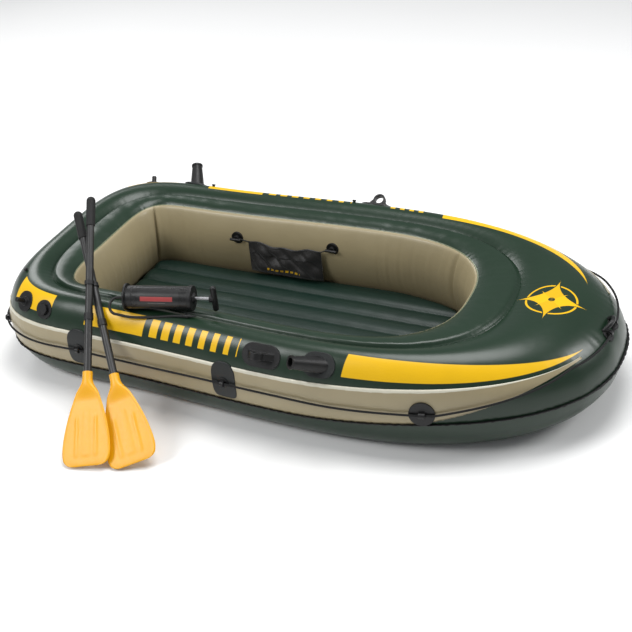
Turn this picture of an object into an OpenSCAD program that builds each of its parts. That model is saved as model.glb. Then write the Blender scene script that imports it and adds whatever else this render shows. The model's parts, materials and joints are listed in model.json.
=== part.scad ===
// Two-person inflatable boat with grab rope, oarlocks, rod holders, pouch, two oars and a hand pump.
// The bow points along +X, the port side is +Y and the boat stands on z = 0.

/* [Hull] */
// Overall length of the hull over the tubes
hull_length = 2360; // [1960:10:2840]
// Overall width of the hull over the tubes
hull_width = 1140; // [950:10:1370]
// Height of the outer chamber
tube_height = 365; // [305:5:440]
// How much narrower each side is at the stern
stern_taper = 26; // [0:1:40]
// Distance from the bow tip to the middle of the bow curve
bow_curve = 1050; // [880:5:1180]
// Distance from the stern to the middle of the stern curve
stern_curve = 557; // [470:1:620]
// Width of the outer chamber at the bow
bow_tube = 500; // [430:1:520]
// Width of the outer chamber along the sides
side_tube = 190; // [160:1:200]
// Width of the outer chamber at the stern
stern_tube = 205; // [180:1:235]
// Width of the whole deck at the bow
bow_deck = 550; // [520:1:600]
// Width of the whole deck along the sides
side_deck = 213; // [204:1:250]
// Width of the whole deck at the stern
stern_deck = 272; // [250:1:320]

/* [Panels and seams] */
// Height of the weld flange along the sides
flange_z = 120; // [100:1:140]
// Height of the weld flange at the bow
flange_bow_z = 190; // [130:1:200]
// How far the weld flange stands out
flange_w = 10; // [6:1:14]
// Thickness of the weld flange
flange_t = 3; // [2:0.5:5]
// Height of the upper edge of the side panel along the sides
band_top = 268; // [240:1:285]
// Height of the upper edge of the side panel at the bow
band_bow_top = 306; // [280:1:312]
// Thickness of the coloured wall panels
panel_t = 1.2; // [0.8:0.1:3]
// Drop from the tube's crown to the groove between the chambers
groove_drop = 28; // [18:1:40]
// Drop from the tube's crown to the cockpit rim
rim_drop = 38; // [30:1:60]
// How far the cockpit wall bulges inward
wall_bulge = 38; // [20:1:50]
// Height at which the two chambers part below
joint_z = 45; // [30:1:60]

/* [Floor] */
// Thickness of the bottom sheet
sheet_t = 2; // [1:0.5:4]
// Radius of each floor tube
floor_r = 43.5; // [38:0.5:46]
// Gap between neighbouring floor tubes
floor_web = 0.4; // [0.3:0.1:2]
// Number of floor tubes
floor_tubes = 7; // [5:2:7]
// Gap between the floor tubes and the cockpit wall
floor_gap = 8; // [4:1:20]

/* [Rope and rope fittings] */
// Radius of the grab rope
rope_r = 4; // [3:0.5:6]
// Height of the rope's middle above the skin
rope_off = 13; // [11:0.5:18]
// Height of the rope along the sides
rope_z = 200; // [185:1:215]
// Height of the rope at the bow
rope_bow_z = 290; // [260:1:300]
// Clearance between the rope and its eyes
rope_gap = 1.2; // [0.8:0.1:2]
// Width of the patch behind a rope eye
patch_w = 96; // [70:1:120]
// Thickness of the patch
patch_t = 2.5; // [1.5:0.5:4]
// Radius of the large rope discs
disc_r = 45; // [36:1:50]

/* [Oarlocks, rod holders and motor fittings] */
// Position of the oarlocks along the boat
oarlock_x = 60; // [-100:5:160]
// Radius of the hole that takes the oar
oarlock_r = 17; // [15.5:0.5:20]
// Wall of the oarlock ring
oarlock_wall = 8; // [5:0.5:11]
// Width of the oarlock ring across the boat
oarlock_w = 24; // [18:1:32]
// Height of the oarlock hole above its pad
oarlock_h = 34; // [30:1:44]
// Position of the starboard rod holder
rod_star_x = 285; // [230:5:330]
// Position of the port rod holder
rod_port_x = -780; // [-800:5:-720]
// Radius of the rod holder's bore
rod_r = 16; // [13:0.5:18]
// Outer radius of the rod holder at its mouth
rod_top_r = 21; // [20:0.5:25]
// Length of the rod holder
rod_len = 112; // [90:1:130]
// Depth of the rod holder's bore
rod_depth = 86; // [70:1:88]
// Position of the motor fittings
motor_x = -1000; // [-1020:5:-960]
// Radius of the motor fitting's post
motor_r = 10; // [8:0.5:14]
// Length of the motor fitting's post
motor_len = 34; // [24:1:44]

/* [Valve] */
// Radius of the air valve's flange
valve_r = 36; // [30:1:42]
// Radius of the valve's neck
valve_neck = 17; // [15:0.5:20]
// Height of the valve's neck
valve_h = 12; // [9:0.5:16]

/* [Oars] */
// Length of an oar
oar_len = 1020; // [900:10:1220]
// Radius of an oar's shaft
shaft_r = 14; // [11:0.5:15]
// Wall of an oar's shaft
shaft_wall = 2; // [1.5:0.1:3]
// Radial clearance of the plugged shaft halves
shaft_fit = 0.05; // [0.02:0.01:0.1]
// Length that the upper half plugs in
plug_len = 80; // [60:1:110]
// Place of the shaft joint as a distance from the blade's tip
shaft_joint = 560; // [520:5:570]
// Length of a blade
blade_len = 330; // [280:1:380]
// Width of a blade
blade_w = 186; // [150:1:220]
// Thickness of a blade
blade_t = 6; // [4:0.5:9]

/* [Hand pump] */
// Radius of the pump's barrel
pump_r = 43; // [36:1:50]
// Length of the pump's barrel
pump_len = 205; // [180:1:260]
// Wall of the barrel
pump_wall = 3; // [2:0.5:5]
// Radius of the pump's rod
rod_bar_r = 6; // [5:0.5:8]
// Length of the T-handle
handle_len = 104; // [90:1:120]
// Distance of the handle from the barrel at rest
handle_gap = 52; // [40:1:60]
// How far the handle pulls out
pump_stroke = 150; // [100:1:155]
// Radius of the air hose
hose_r = 5; // [4:0.5:5.5]

/* [Pouch] */
// Middle of the pouch along the boat
pouch_x = -260; // [-300:5:-220]
// Width of the pouch
pouch_w = 330; // [280:1:340]
// Height of the pouch
pouch_h = 146; // [120:1:148]
// Thickness of the pouch when filled
pouch_t = 46; // [34:1:55]

/* [Hidden] */
$fn = 64;

// ---- plan curves ----
// Three closed curves share one set of stations: the outer edge, the joint of the two chambers
// and the cockpit rim. Each is a rounded bow lobe, two sides and a rounded stern lobe.
bow_steps = 15;
side_steps = 4;
stern_steps = 12;
half_steps = bow_steps + side_steps + stern_steps;
stations = 2 * half_steps;
bow_x = hull_length / 2 - bow_curve;
stern_x = stern_curve - hull_length / 2;
half_w = hull_width / 2;
section_power = 2;
// A curve is [bow length, bow half width, bow power, stern length, stern half width, stern power].
outer_power = [2.33, 3.98];
joint_power = [2.8, 3.2];
rim_power = [2.6, 5.5];
outer_curve = [
  bow_curve, half_w, outer_power[0],
  stern_curve, half_w - stern_taper, outer_power[1]
];
joint_curve = [
  bow_curve - bow_tube, half_w - side_tube, joint_power[0],
  stern_curve - stern_tube, half_w - stern_taper - side_tube, joint_power[1]
];
rim_curve = [
  bow_curve - bow_deck, half_w - side_deck, rim_power[0],
  stern_curve - stern_deck, half_w - stern_taper - side_deck, rim_power[1]
];

function lobe_r(a, b, p, t) =
  pow(pow(abs(cos(t)) / a, p) + pow(abs(sin(t)) / b, p), -1 / p);
function smooth(t) = t * t * (3 - 2 * t);
function mix(a, b, t) = a + (b - a) * t;
function unit(v) = v / norm(v);
function half_point(j, c) =
  j <= bow_steps
  ? let (t = 90 * j / bow_steps, r = lobe_r(c[0], c[1], c[2], t)) [bow_x + r * cos(t), r * sin(t)]
  : j < bow_steps + side_steps
  ? let (k = (j - bow_steps) / side_steps) [mix(bow_x, stern_x, k), mix(c[1], c[4], smooth(k))]
  : let (
      t = 90 + 90 * (j - bow_steps - side_steps) / stern_steps,
      r = lobe_r(c[3], c[4], c[5], t)
    ) [stern_x + r * cos(t), r * sin(t)];
function curve_point(i, c) =
  i < 0
  ? let (p = half_point(-i, c)) [p.x, -p.y]
  : i <= half_steps
  ? half_point(i, c)
  : let (p = half_point(stations - i, c)) [p.x, -p.y];

// Station on the port side at an angle round an end or at a place along the boat.
function port_at_bow(t) = bow_steps * t / 90;
function port_at_stern(t) = bow_steps + side_steps + stern_steps * (t - 90) / 90;
function lobe_angle(dx, a, b, p) = atan2(b * pow(max(0, 1 - pow(dx / a, p)), 1 / p), dx);
function port_at_x(x) =
  x > bow_x
  ? port_at_bow(lobe_angle(x - bow_x, outer_curve[0], outer_curve[1], outer_curve[2]))
  : x < stern_x
  ? port_at_stern(180 - lobe_angle(stern_x - x, outer_curve[3], outer_curve[4], outer_curve[5]))
  : bow_steps + side_steps * (x - bow_x) / (stern_x - bow_x);
function on_side(j, side) = side > 0 ? j : stations - j;

// ---- sections ----
function bend(c) = sign(c) * pow(abs(c), 2 / section_power);
function unbend(v) = sign(v) * pow(abs(v), section_power / 2);
// The share of the chamber's width at a height, on its outer side (0) or inner side (1).
function share_at(z, inner) =
  let (
    s = min(1, max(-1, 2 * z / tube_height - 1)),
    c = pow(max(0, 1 - pow(abs(s), section_power)), 1 / section_power)
  ) inner ? 0.5 + c / 2 : 0.5 - c / 2;
function outer_point(i, z, inner = false) =
  let (p = mix(curve_point(i, outer_curve), curve_point(i, joint_curve), share_at(z, inner)))
  [p.x, p.y, z];
groove_z = tube_height - groove_drop;
rim_z = tube_height - rim_drop;
// The flange and the panel's upper edge rise towards the bow.
function bow_share(i) = let (j = min(i, stations - i)) smooth(max(0, 1 - j / bow_steps));
function flange_at(i) = mix(flange_z, flange_bow_z, bow_share(i));
function band_at(i) = mix(band_top, band_bow_top, bow_share(i));
inner_crown = tube_height - 14;
shared_steps = 6;
shared_z = [for (k = [0:shared_steps]) mix(groove_z, joint_z, k / shared_steps)];
outer_low = [0.03, 0.3, 0.7];
outer_mid = [0.25, 0.5, 0.75];
outer_high = [0.38, 0.7, 0.9];

function outer_section(i) = let (lo = flange_at(i) - flange_t / 2, hi = lo + flange_t, top = band_at(i)) [
  for (k = outer_low) outer_point(i, lo * k),
  outer_point(i, lo),
  outer_point(i, hi),
  for (k = outer_mid) outer_point(i, mix(hi, top, k)),
  outer_point(i, top),
  for (k = outer_high) outer_point(i, mix(top, tube_height, k)),
  outer_point(i, tube_height),
  outer_point(i, tube_height - groove_drop * 0.3, true),
  for (z = shared_z) outer_point(i, z, true),
  outer_point(i, joint_z * 0.35, true),
  outer_point(i, 0, true)
];

function inward(i) = unit(curve_point(i, rim_curve) - curve_point(i, outer_curve));
function wall_shape(z) =
  let (t = (rim_z - z) / (rim_z - joint_z))
  pow(max(0, sin(180 * min(1, max(0, t)))), 0.8);
function wall_point(i, z, off = 0) =
  let (p = curve_point(i, rim_curve) + inward(i) * (wall_bulge * wall_shape(z) + off))
  [p.x, p.y, z];
wall_steps = 7;
wall_z = [for (k = [0:wall_steps]) mix(rim_z, joint_z, k / wall_steps)];
function deck_point(i, t, z) =
  let (a = outer_point(i, groove_z, true), b = wall_point(i, rim_z))
  [mix(a.x, b.x, t), mix(a.y, b.y, t), z];
function inner_section(i) = [
  for (k = [shared_steps:-1:0]) outer_point(i, shared_z[k], true),
  deck_point(i, 0.3, inner_crown - 2),
  deck_point(i, 0.55, inner_crown),
  deck_point(i, 0.82, mix(inner_crown, rim_z, 0.3)),
  for (z = wall_z) wall_point(i, z)
];

// A closed ring through one section at each station.
module ring_solid(sections) {
  n = len(sections);
  m = len(sections[0]);
  points = [for (s = sections) for (p = s) p];
  faces = [
    for (i = [0:n - 1])
      for (k = [0:m - 1])
        let (
          a = i * m + k, b = i * m + (k + 1) % m,
          c = ((i + 1) % n) * m + (k + 1) % m, d = ((i + 1) % n) * m + k
        )
          each [[a, b, c], [a, c, d]]
  ];
  polyhedron(points = points, faces = faces, convexity = 8);
}

// An open strip through one section at each station, closed at both ends.
module strip_solid(sections) {
  n = len(sections);
  m = len(sections[0]);
  points = [for (s = sections) for (p = s) p];
  sides = [
    for (i = [0:n - 2])
      for (k = [0:m - 1])
        let (
          a = i * m + k, b = i * m + (k + 1) % m,
          c = (i + 1) * m + (k + 1) % m, d = (i + 1) * m + k
        )
          each [[a, b, c], [a, c, d]]
  ];
  last = (n - 1) * m;
  ends = [
    [for (k = [m - 1:-1:0]) k],
    [for (k = [0:m - 1]) last + k]
  ];
  polyhedron(points = points, faces = concat(sides, ends), convexity = 8);
}

// ---- places on the outer chamber ----
probe = 0.2;
function along(i) =
  let (a = curve_point(i - probe, outer_curve), b = curve_point(i + probe, outer_curve))
  unit([b.x - a.x, b.y - a.y, 0]);
function skin_normal(i, z) =
  let (
    up = unit(outer_point(i, z + probe) - outer_point(i, z - probe)),
    n = cross(along(i), up)
  ) unit(n);
function skin_point(i, z, off = 0) = outer_point(i, z) + skin_normal(i, z) * off;
// Puts local +Z along the skin's normal and local +Y up the skin.
module on_skin(i, z, off = 0) {
  n = skin_normal(i, z);
  x = along(i);
  y = cross(n, x);
  p = skin_point(i, z, off);
  multmatrix([
    [x.x, y.x, n.x, p.x],
    [x.y, y.y, n.y, p.y],
    [x.z, y.z, n.z, p.z],
    [0, 0, 0, 1]
  ]) children();
}

// ---- hull ----
module outer_chamber() {
  color("darkgreen") ring_solid([for (i = [0:stations - 1]) outer_section(i)]);
}

module inner_chamber() {
  color("seagreen") ring_solid([for (i = [0:stations - 1]) inner_section(i)]);
}

module weld_flange() {
  color("black") ring_solid([
    for (i = [0:stations - 1])
      let (
        z = flange_at(i),
        a = outer_point(i, z - flange_t / 2),
        b = outer_point(i, z + flange_t / 2),
        n = skin_normal(i, z),
        w = flange_w * unit([n.x, n.y, 0])
      )
        [a, a + w, b + w, b]
  ]);
}

// The side panel runs from one side of the bow round the stern and narrows to a point.
panel_start = 2;
panel_taper = 6.5;
panel_rows = 4;
panel_sink = 0.4;
panel_tip = 6;
function panel_low(i) =
  let (j = min(i, stations - i), t = min(1, max(0, (j - panel_start) / panel_taper)))
  mix(band_at(i) - panel_tip, flange_at(i) + flange_t / 2, smooth(t));
module side_panel() {
  color("tan") strip_solid([
    for (i = [panel_start:stations - panel_start])
      [
        for (k = [0:panel_rows])
          skin_point(i, mix(panel_low(i), band_at(i), k / panel_rows), panel_t),
        for (k = [panel_rows:-1:0])
          skin_point(i, mix(panel_low(i), band_at(i), k / panel_rows), -panel_sink)
      ]
  ]);
}

module inner_wall_panel() {
  color("tan") ring_solid([
    for (i = [0:stations - 1])
      [for (z = wall_z) wall_point(i, z, panel_t), for (k = [wall_steps:-1:0]) wall_point(i, wall_z[k])]
  ]);
}

sheet_share = 0.6;
module bottom_sheet() {
  color("darkgreen")
    linear_extrude(sheet_t)
      polygon([
        for (i = [0:stations - 1])
          mix(curve_point(i, outer_curve), curve_point(i, joint_curve), sheet_share)
      ]);
}

// Floor tubes end short of the cockpit wall; their ends are round.
floor_sink = 0.5;
floor_cz = sheet_t + floor_r - floor_sink;
floor_margin = wall_bulge + floor_gap;
function lobe_x(a, b, p, y) = a * pow(max(0, 1 - pow(min(1, abs(y) / b), p)), 1 / p);
function floor_front(y) =
  bow_x + lobe_x(rim_curve[0] - floor_margin, rim_curve[1] - floor_margin, rim_curve[2],
    abs(y) + floor_r * 0.6) - floor_r;
function floor_back(y) =
  stern_x - lobe_x(rim_curve[3] - floor_margin, rim_curve[4] - floor_margin, rim_curve[5],
    abs(y) + floor_r * 0.6) + floor_r;
module floor_mat() {
  color("darkolivegreen")
    for (k = [0:floor_tubes - 1]) {
      y = (k - (floor_tubes - 1) / 2) * (2 * floor_r + floor_web);
      translate([floor_back(y), y, floor_cz])
        rotate([0, 90, 0])
          cylinder(r = floor_r, h = floor_front(y) - floor_back(y));
      translate([floor_back(y), y, floor_cz]) sphere(r = floor_r);
      translate([floor_front(y), y, floor_cz]) sphere(r = floor_r);
    }
}

// ---- grab rope and its fittings ----
rope_rings = 78;
rope_sides = 8;
// The rope climbs from the large discs to the bow fitting.
disc_angle = 46;
disc_station = port_at_bow(disc_angle);
rope_climb = disc_station - 1;
function rope_height(i) =
  let (j = min(i, stations - i), t = min(1, max(0, (disc_station - 0.4 - j) / rope_climb)))
  mix(rope_z, rope_bow_z, t);
function rope_middle(i) = skin_point(i, rope_height(i), rope_off);
module grab_rope() {
  color("black") ring_solid([
    for (k = [0:rope_rings - 1])
      let (
        i = stations * k / rope_rings,
        m = rope_middle(i),
        n = skin_normal(i, rope_height(i)),
        t = unit(rope_middle((i + 0.3) % stations) - rope_middle((i - 0.3 + stations) % stations)),
        s = unit(cross(t, n)),
        r = cross(s, t)
      )
        [
          for (a = [0:rope_sides - 1])
            m + rope_r * (r * cos(-360 * a / rope_sides) + s * sin(-360 * a / rope_sides))
        ]
  ]);
}

// One eye: a round foot with a bored lug that the rope runs through.
eye_foot_r = 22;
eye_foot_h = 7;
eye_sink = 2;
eye_w = 14;
eye_wall = 5;
module rope_eye(foot_r, lug_w) {
  difference() {
    union() {
      translate([0, 0, -eye_sink]) cylinder(r = foot_r, h = eye_foot_h + eye_sink);
      translate([-lug_w / 2, 0, rope_off])
        rotate([0, 90, 0]) cylinder(r = rope_r + rope_gap + eye_wall, h = lug_w);
      translate([-lug_w / 2, -rope_r - rope_gap - eye_wall, 0])
        cube([lug_w, 2 * (rope_r + rope_gap + eye_wall), rope_off]);
    }
    translate([-foot_r * 2, 0, rope_off])
      rotate([0, 90, 0]) cylinder(r = rope_r + rope_gap, h = foot_r * 4);
  }
}

patch_x = [-90, -716];
stern_eyes = [138, 168];
eye_stations = [
  for (x = patch_x) port_at_x(x),
  for (t = stern_eyes) port_at_stern(t)
];
sides = [1, -1];
module rope_eyes() {
  color("dimgray")
    for (s = sides)
      for (j = eye_stations) {
        i = on_side(j, s);
        on_skin(i, rope_height(i)) rope_eye(eye_foot_r, eye_w);
      }
}
module rope_discs() {
  color("dimgray")
    for (s = sides) {
      i = on_side(disc_station, s);
      on_skin(i, rope_height(i)) rope_eye(disc_r, eye_w * 1.6);
    }
}

// A thin curved patch under each side eye.
patch_rows = 6;
patch_lo = flange_z + 12;
patch_hi = band_top + 12;
module rope_patches() {
  color("darkslategray")
    for (s = sides)
      for (x = patch_x)
        strip_solid([
          for (k = [0:3])
            let (xx = x + patch_w * (k / 3 - 0.5), i = on_side(port_at_x(s > 0 ? 2 * x - xx : xx), s))
              [
                for (r = [0:patch_rows])
                  skin_point(i, mix(patch_lo, patch_hi, r / patch_rows), patch_t),
                for (r = [patch_rows:-1:0])
                  skin_point(i, mix(patch_lo, patch_hi, r / patch_rows), -panel_sink)
              ]
        ]);
}

// Bow fitting: two bored discs; the carrying handle is an arch between them.
bow_gap = 74;
bow_disc_r = 24;
bow_plate_h = 5;
bow_disc_station = port_at_bow(atan2(bow_gap / 2, bow_curve));
module bow_fitting() {
  color("black") {
    for (s = sides) on_skin(s * bow_disc_station, rope_bow_z) rope_eye(bow_disc_r, eye_w);
    on_skin(0, rope_bow_z)
      translate([-bow_gap / 2, -bow_disc_r * 0.75, -eye_sink - 2])
        cube([bow_gap, bow_disc_r * 1.5, bow_plate_h + eye_sink - 1]);
  }
}
handle_bar_r = 8;
handle_rise = 62;
handle_up = 16;
module bow_handle() {
  color("black")
    on_skin(0, rope_bow_z + 4) {
      translate([0, handle_up, 0])
        rotate([90, 0, 0])
          intersection() {
            rotate_extrude() translate([bow_gap / 2, 0]) circle(r = handle_bar_r);
            translate([-bow_gap, -eye_sink, -handle_bar_r * 2])
              cube([bow_gap * 2, bow_gap, handle_bar_r * 4]);
          }
    }
}

// ---- oarlocks ----
pad_h = 5;
pad_sink = 3;
oarlock_z = tube_height - 41;
module oval_pad(l, w, h) {
  for (s = sides) translate([s * (l - w) / 2, 0, 0]) cylinder(r = w / 2, h = h);
  translate([-(l - w) / 2, -w / 2, 0]) cube([l - w, w, h]);
}
module oarlock_shape() {
  outer = oarlock_r + oarlock_wall;
  difference() {
    union() {
      translate([0, 0, -pad_sink]) oval_pad(148, 84, pad_h + pad_sink);
      translate([0, oarlock_w / 2, 0])
        rotate([90, 0, 0])
          linear_extrude(oarlock_w)
            union() {
              translate([0, pad_h + oarlock_h]) circle(r = outer);
              polygon([[-54, 0], [54, 0], [outer * 0.92, pad_h + oarlock_h], [-outer * 0.92, pad_h + oarlock_h]]);
            }
    }
    translate([0, 60, pad_h + oarlock_h]) rotate([90, 0, 0]) cylinder(r = oarlock_r, h = 120);
  }
}
module oarlock_starboard() {
  color("black") on_skin(on_side(port_at_x(oarlock_x), -1), oarlock_z) oarlock_shape();
}
module oarlock_port() {
  color("black") on_skin(on_side(port_at_x(oarlock_x), 1), oarlock_z) oarlock_shape();
}

// ---- rod holders ----
rod_base_r = 32;
rod_tilt = 38;
rod_z = tube_height - 37;
module rod_pad() {
  translate([0, 0, -pad_sink]) oval_pad(120, 88, pad_h + pad_sink);
}
module rod_holder_shape(lean) {
  difference() {
    intersection() {
      rotate([0, lean, 0])
        union() {
          translate([0, 0, -20]) cylinder(r1 = rod_base_r, r2 = rod_top_r, h = rod_len + 20);
          translate([0, 0, rod_len - 8]) cylinder(r = rod_top_r + 3, h = 8);
        }
      translate([-200, -200, pad_h]) cube([400, 400, 400]);
    }
    rotate([0, lean, 0])
      translate([0, 0, rod_len - rod_depth]) cylinder(r = rod_r, h = rod_depth + 10);
  }
}
module rod_holder_starboard() {
  color("black")
    on_skin(on_side(port_at_x(rod_star_x), -1), rod_z) rod_holder_shape(-rod_tilt);
}
module rod_holder_port() {
  color("black")
    on_skin(on_side(port_at_x(rod_port_x), 1), rod_z) rod_holder_shape(rod_tilt / 2);
}
module rod_holder_pads() {
  color("darkslategray") {
    on_skin(on_side(port_at_x(rod_star_x), -1), rod_z) rod_pad();
    on_skin(on_side(port_at_x(rod_port_x), 1), rod_z) rod_pad();
  }
}

// ---- motor fittings and studs ----
motor_z = tube_height - 42;
motor_station = port_at_x(motor_x);
module motor_fitting_shape() {
  translate([0, 0, -pad_sink]) cylinder(r = 40, h = pad_h + pad_sink);
  cylinder(r = 18, h = pad_h + 5);
  cylinder(r = motor_r, h = pad_h + 5 + motor_len);
  translate([0, 0, pad_h + 5 + motor_len]) cylinder(r1 = motor_r, r2 = motor_r - 2, h = 2);
}
module motor_fitting_starboard() {
  color("black") on_skin(on_side(motor_station, -1), motor_z) motor_fitting_shape();
}
module motor_fitting_port() {
  color("black") on_skin(on_side(motor_station, 1), motor_z) motor_fitting_shape();
}

stud_x = [-23, -672];
stud_z = tube_height - 5;
stern_stud_angle = 142;
module stud() {
  translate([0, 0, -pad_sink]) cylinder(r = 11, h = 3 + pad_sink);
  cylinder(r = 6, h = 9);
  translate([0, 0, 9]) cylinder(r = 8, h = 5);
}
module deck_studs() {
  color("black")
    for (i = [for (x = stud_x) port_at_x(x), on_side(port_at_stern(stern_stud_angle), -1)])
      on_skin(i, stud_z) stud();
}

// ---- air valve at the starboard stern corner ----
valve_x = -888;
valve_station = port_at_x(valve_x);
valve_z = tube_height - 44;
cap_gap = 0.3;
cap_wall = 3;
module valve_base() {
  color("black")
    on_skin(on_side(valve_station, -1), valve_z)
      difference() {
        union() {
          translate([0, 0, -pad_sink]) cylinder(r = valve_r, h = 4 + pad_sink);
          cylinder(r = valve_neck, h = valve_h);
        }
        translate([0, 0, -1]) cylinder(r = valve_neck - 4, h = valve_h + 2);
      }
}
module valve_insert() {
  color("gray")
    on_skin(on_side(valve_station, -1), valve_z)
      difference() {
        translate([0, 0, -1]) cylinder(r = valve_neck - 4, h = valve_h - 3);
        translate([0, 0, 3]) cylinder(r = valve_neck - 9, h = valve_h);
      }
}
module valve_cap() {
  color("black")
    on_skin(on_side(valve_station, -1), valve_z)
      difference() {
        union() {
          translate([0, 0, 4 + cap_gap]) cylinder(r = valve_neck + cap_gap + cap_wall, h = valve_h - 1);
          for (a = [0:60:300])
            rotate([0, 0, a])
              translate([valve_neck + cap_wall, -2, 4 + cap_gap]) cube([2.5, 4, valve_h - 2]);
        }
        translate([0, 0, 3]) cylinder(r = valve_neck + cap_gap, h = valve_h - 3 + cap_gap);
      }
}

// ---- pouch on the port cockpit wall ----
wall_disc_x = [pouch_x - 218, pouch_x + 206];
wall_disc_z = rim_z - 88;
wall_disc_r = 26;
module on_wall(x, z, off = 0) {
  i = port_at_x(x);
  p = wall_point(i, z, panel_t + off);
  translate(p) rotate([90, 0, 0]) children();
}
module wall_discs() {
  color("black")
    for (x = wall_disc_x)
      on_wall(x, wall_disc_z) {
        translate([0, 0, -panel_t - 4]) cylinder(r = wall_disc_r, h = 8 + panel_t);
        cylinder(r = 12, h = 14);
      }
}
toggle_z = 15;
module wall_toggles() {
  color("black")
    for (x = wall_disc_x)
      on_wall(x, wall_disc_z)
        translate([-24, 0, toggle_z + 5]) rotate([0, 90, 0]) cylinder(r = 6, h = 48);
}
pouch_top = wall_disc_z + 2;
pouch_clear = 3;
pouch_rows = 8;
function pouch_back(x, t) =
  let (z = mix(pouch_top, pouch_top - pouch_h, t))
  wall_point(port_at_x(x), z, panel_t + pouch_clear).y;
// The pouch hangs straight, just clear of the bulging wall.
pouch_plane = min([
  for (e = sides, k = [0:pouch_rows]) pouch_back(pouch_x + e * pouch_w / 2, k / pouch_rows)
]);
module pouch() {
  color("darkslategray")
    translate([pouch_x - pouch_w / 2, 0, 0])
      rotate([90, 0, 90])
        linear_extrude(pouch_w)
          polygon([
            for (k = [0:pouch_rows])
              [pouch_plane, mix(pouch_top, pouch_top - pouch_h, k / pouch_rows)],
            for (k = [pouch_rows:-1:0])
              let (t = k / pouch_rows)
                [pouch_plane - mix(7, pouch_t, pow(t, 0.7)) + 14 * pow(t, 6),
                  mix(pouch_top, pouch_top - pouch_h, t)]
          ]);
}
cord_r = 2.5;
module pouch_cords() {
  color("black")
    for (s = [0, 1]) {
      x0 = wall_disc_x[s];
      x1 = pouch_x + (s == 0 ? -1 : 1) * (pouch_w / 2 - 1);
      y1 = pouch_plane - 4;
      p = wall_point(port_at_x(x0), wall_disc_z, panel_t + 9);
      a = [p.x + (s == 0 ? 1 : -1) * 11, p.y, wall_disc_z];
      b = [x1, y1, pouch_top - 8];
      d = b - a;
      translate(a)
        rotate([0, acos(d.z / norm(d)), atan2(d.y, d.x)])
          cylinder(r = cord_r, h = norm(d));
    }
}

// ---- oars ----
// An oar lies along local +Z from the blade's end; local +X is across the blade.
oar_a_tip = [-303, -half_w - 312, 26.6];
oar_a_cross = [-696, -half_w + 165, tube_height + 75.8];
oar_b_near_tip = [-468, -half_w - 366, 14];
oar_b_near_cross = [-688, -half_w + 153, tube_height + 102];
oar_a_line = unit(oar_a_cross - oar_a_tip);
oar_b_line = unit(oar_b_near_cross - oar_b_near_tip);
// Oar b is set off square to both oars so that the shafts pass with a small gap.
oar_gap = 4;
oar_a_roll = -20.5;
oar_b_roll = -12;
oar_square = unit(cross(oar_b_line, oar_a_line));
oar_between = oar_b_near_tip - oar_a_tip;
oar_b_shift = oar_square * (2 * shaft_r + oar_gap - oar_between * oar_square);
oar_b_tip = oar_b_near_tip + oar_b_shift;
oar_b_cross = oar_b_near_cross + oar_b_shift;
module on_oar(tip, cross_point) {
  z = unit(cross_point - tip);
  x = unit(cross([0, 0, 1], z));
  y = cross(z, x);
  multmatrix([
    [x.x, y.x, z.x, tip.x],
    [x.y, y.y, z.y, tip.y],
    [x.z, y.z, z.z, tip.z],
    [0, 0, 0, 1]
  ]) children();
}
blade_steps = 14;
function blade_half(t) =
  blade_w / 2 * (t < 0.16 ? 0.86 + 0.14 * sin(90 * t / 0.16) : 1 - 0.84 * pow((t - 0.16) / 0.84, 1.7));
module blade_outline() {
  polygon([
    for (k = [0:blade_steps]) let (t = k / blade_steps) [blade_half(t), blade_len * t],
    for (k = [blade_steps:-1:0]) let (t = k / blade_steps) [-blade_half(t), blade_len * t]
  ]);
}
rib_h = 3;
rib_w = 5;
rib_len = blade_len * 0.58;
socket_len = 10;
socket_wall = 4;
socket_nose = 100;
// A flat blade with three ribs on each face; the socket swells out of it and takes the shaft.
module blade_shape() {
  translate([0, blade_t / 2, 0]) rotate([90, 0, 0]) linear_extrude(blade_t) blade_outline();
  for (s = [-1, 0, 1])
    translate([s * blade_w * 0.2 - rib_w / 2, -blade_t / 2 - rib_h, 26])
      cube([rib_w, blade_t + 2 * rib_h, rib_len * (s == 0 ? 1 : 0.86)]);
  rotate_extrude()
    polygon([
      [0, blade_len - socket_nose], [blade_t * 0.8, blade_len - socket_nose],
      [shaft_r + socket_wall, blade_len - socket_nose * 0.35],
      [shaft_r + socket_wall, blade_len + socket_len],
      [shaft_r, blade_len + socket_len], [shaft_r, blade_len], [0, blade_len]
    ]);
}
shaft_start = blade_len;
module lower_shaft_shape() {
  difference() {
    translate([0, 0, shaft_start]) cylinder(r = shaft_r, h = shaft_joint - shaft_start);
    translate([0, 0, shaft_start + 20])
      cylinder(r = shaft_r - shaft_wall, h = shaft_joint - shaft_start);
  }
}
joint_gap = 0.3;
module upper_shaft_shape() {
  difference() {
    union() {
      translate([0, 0, shaft_joint - plug_len])
        cylinder(r = shaft_r - shaft_wall - shaft_fit, h = plug_len + 10);
      translate([0, 0, shaft_joint + joint_gap])
        cylinder(r = shaft_r, h = oar_len - 40 - shaft_joint - joint_gap);
    }
    translate([0, 0, shaft_joint - plug_len - 1])
      cylinder(r = shaft_r - 2 * shaft_wall - 1, h = oar_len - 60 - shaft_joint + plug_len);
  }
}
module collar_shape() {
  difference() {
    translate([0, 0, shaft_joint - 26]) cylinder(r = shaft_r + 3, h = 26);
    translate([0, 0, shaft_joint - 27]) cylinder(r = shaft_r, h = 28);
  }
}
grip_len = 118;
module grip_shape() {
  difference() {
    union() {
      translate([0, 0, oar_len - grip_len]) cylinder(r = shaft_r + 3, h = grip_len - 17);
      translate([0, 0, oar_len - 17]) sphere(r = shaft_r + 3);
    }
    translate([0, 0, oar_len - grip_len - 1]) cylinder(r = shaft_r, h = grip_len - 39);
  }
}
module oar_a() { on_oar(oar_a_tip, oar_a_cross) rotate([0, 0, oar_a_roll]) children(); }
module oar_b() { on_oar(oar_b_tip, oar_b_cross) rotate([0, 0, oar_b_roll]) children(); }
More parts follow.
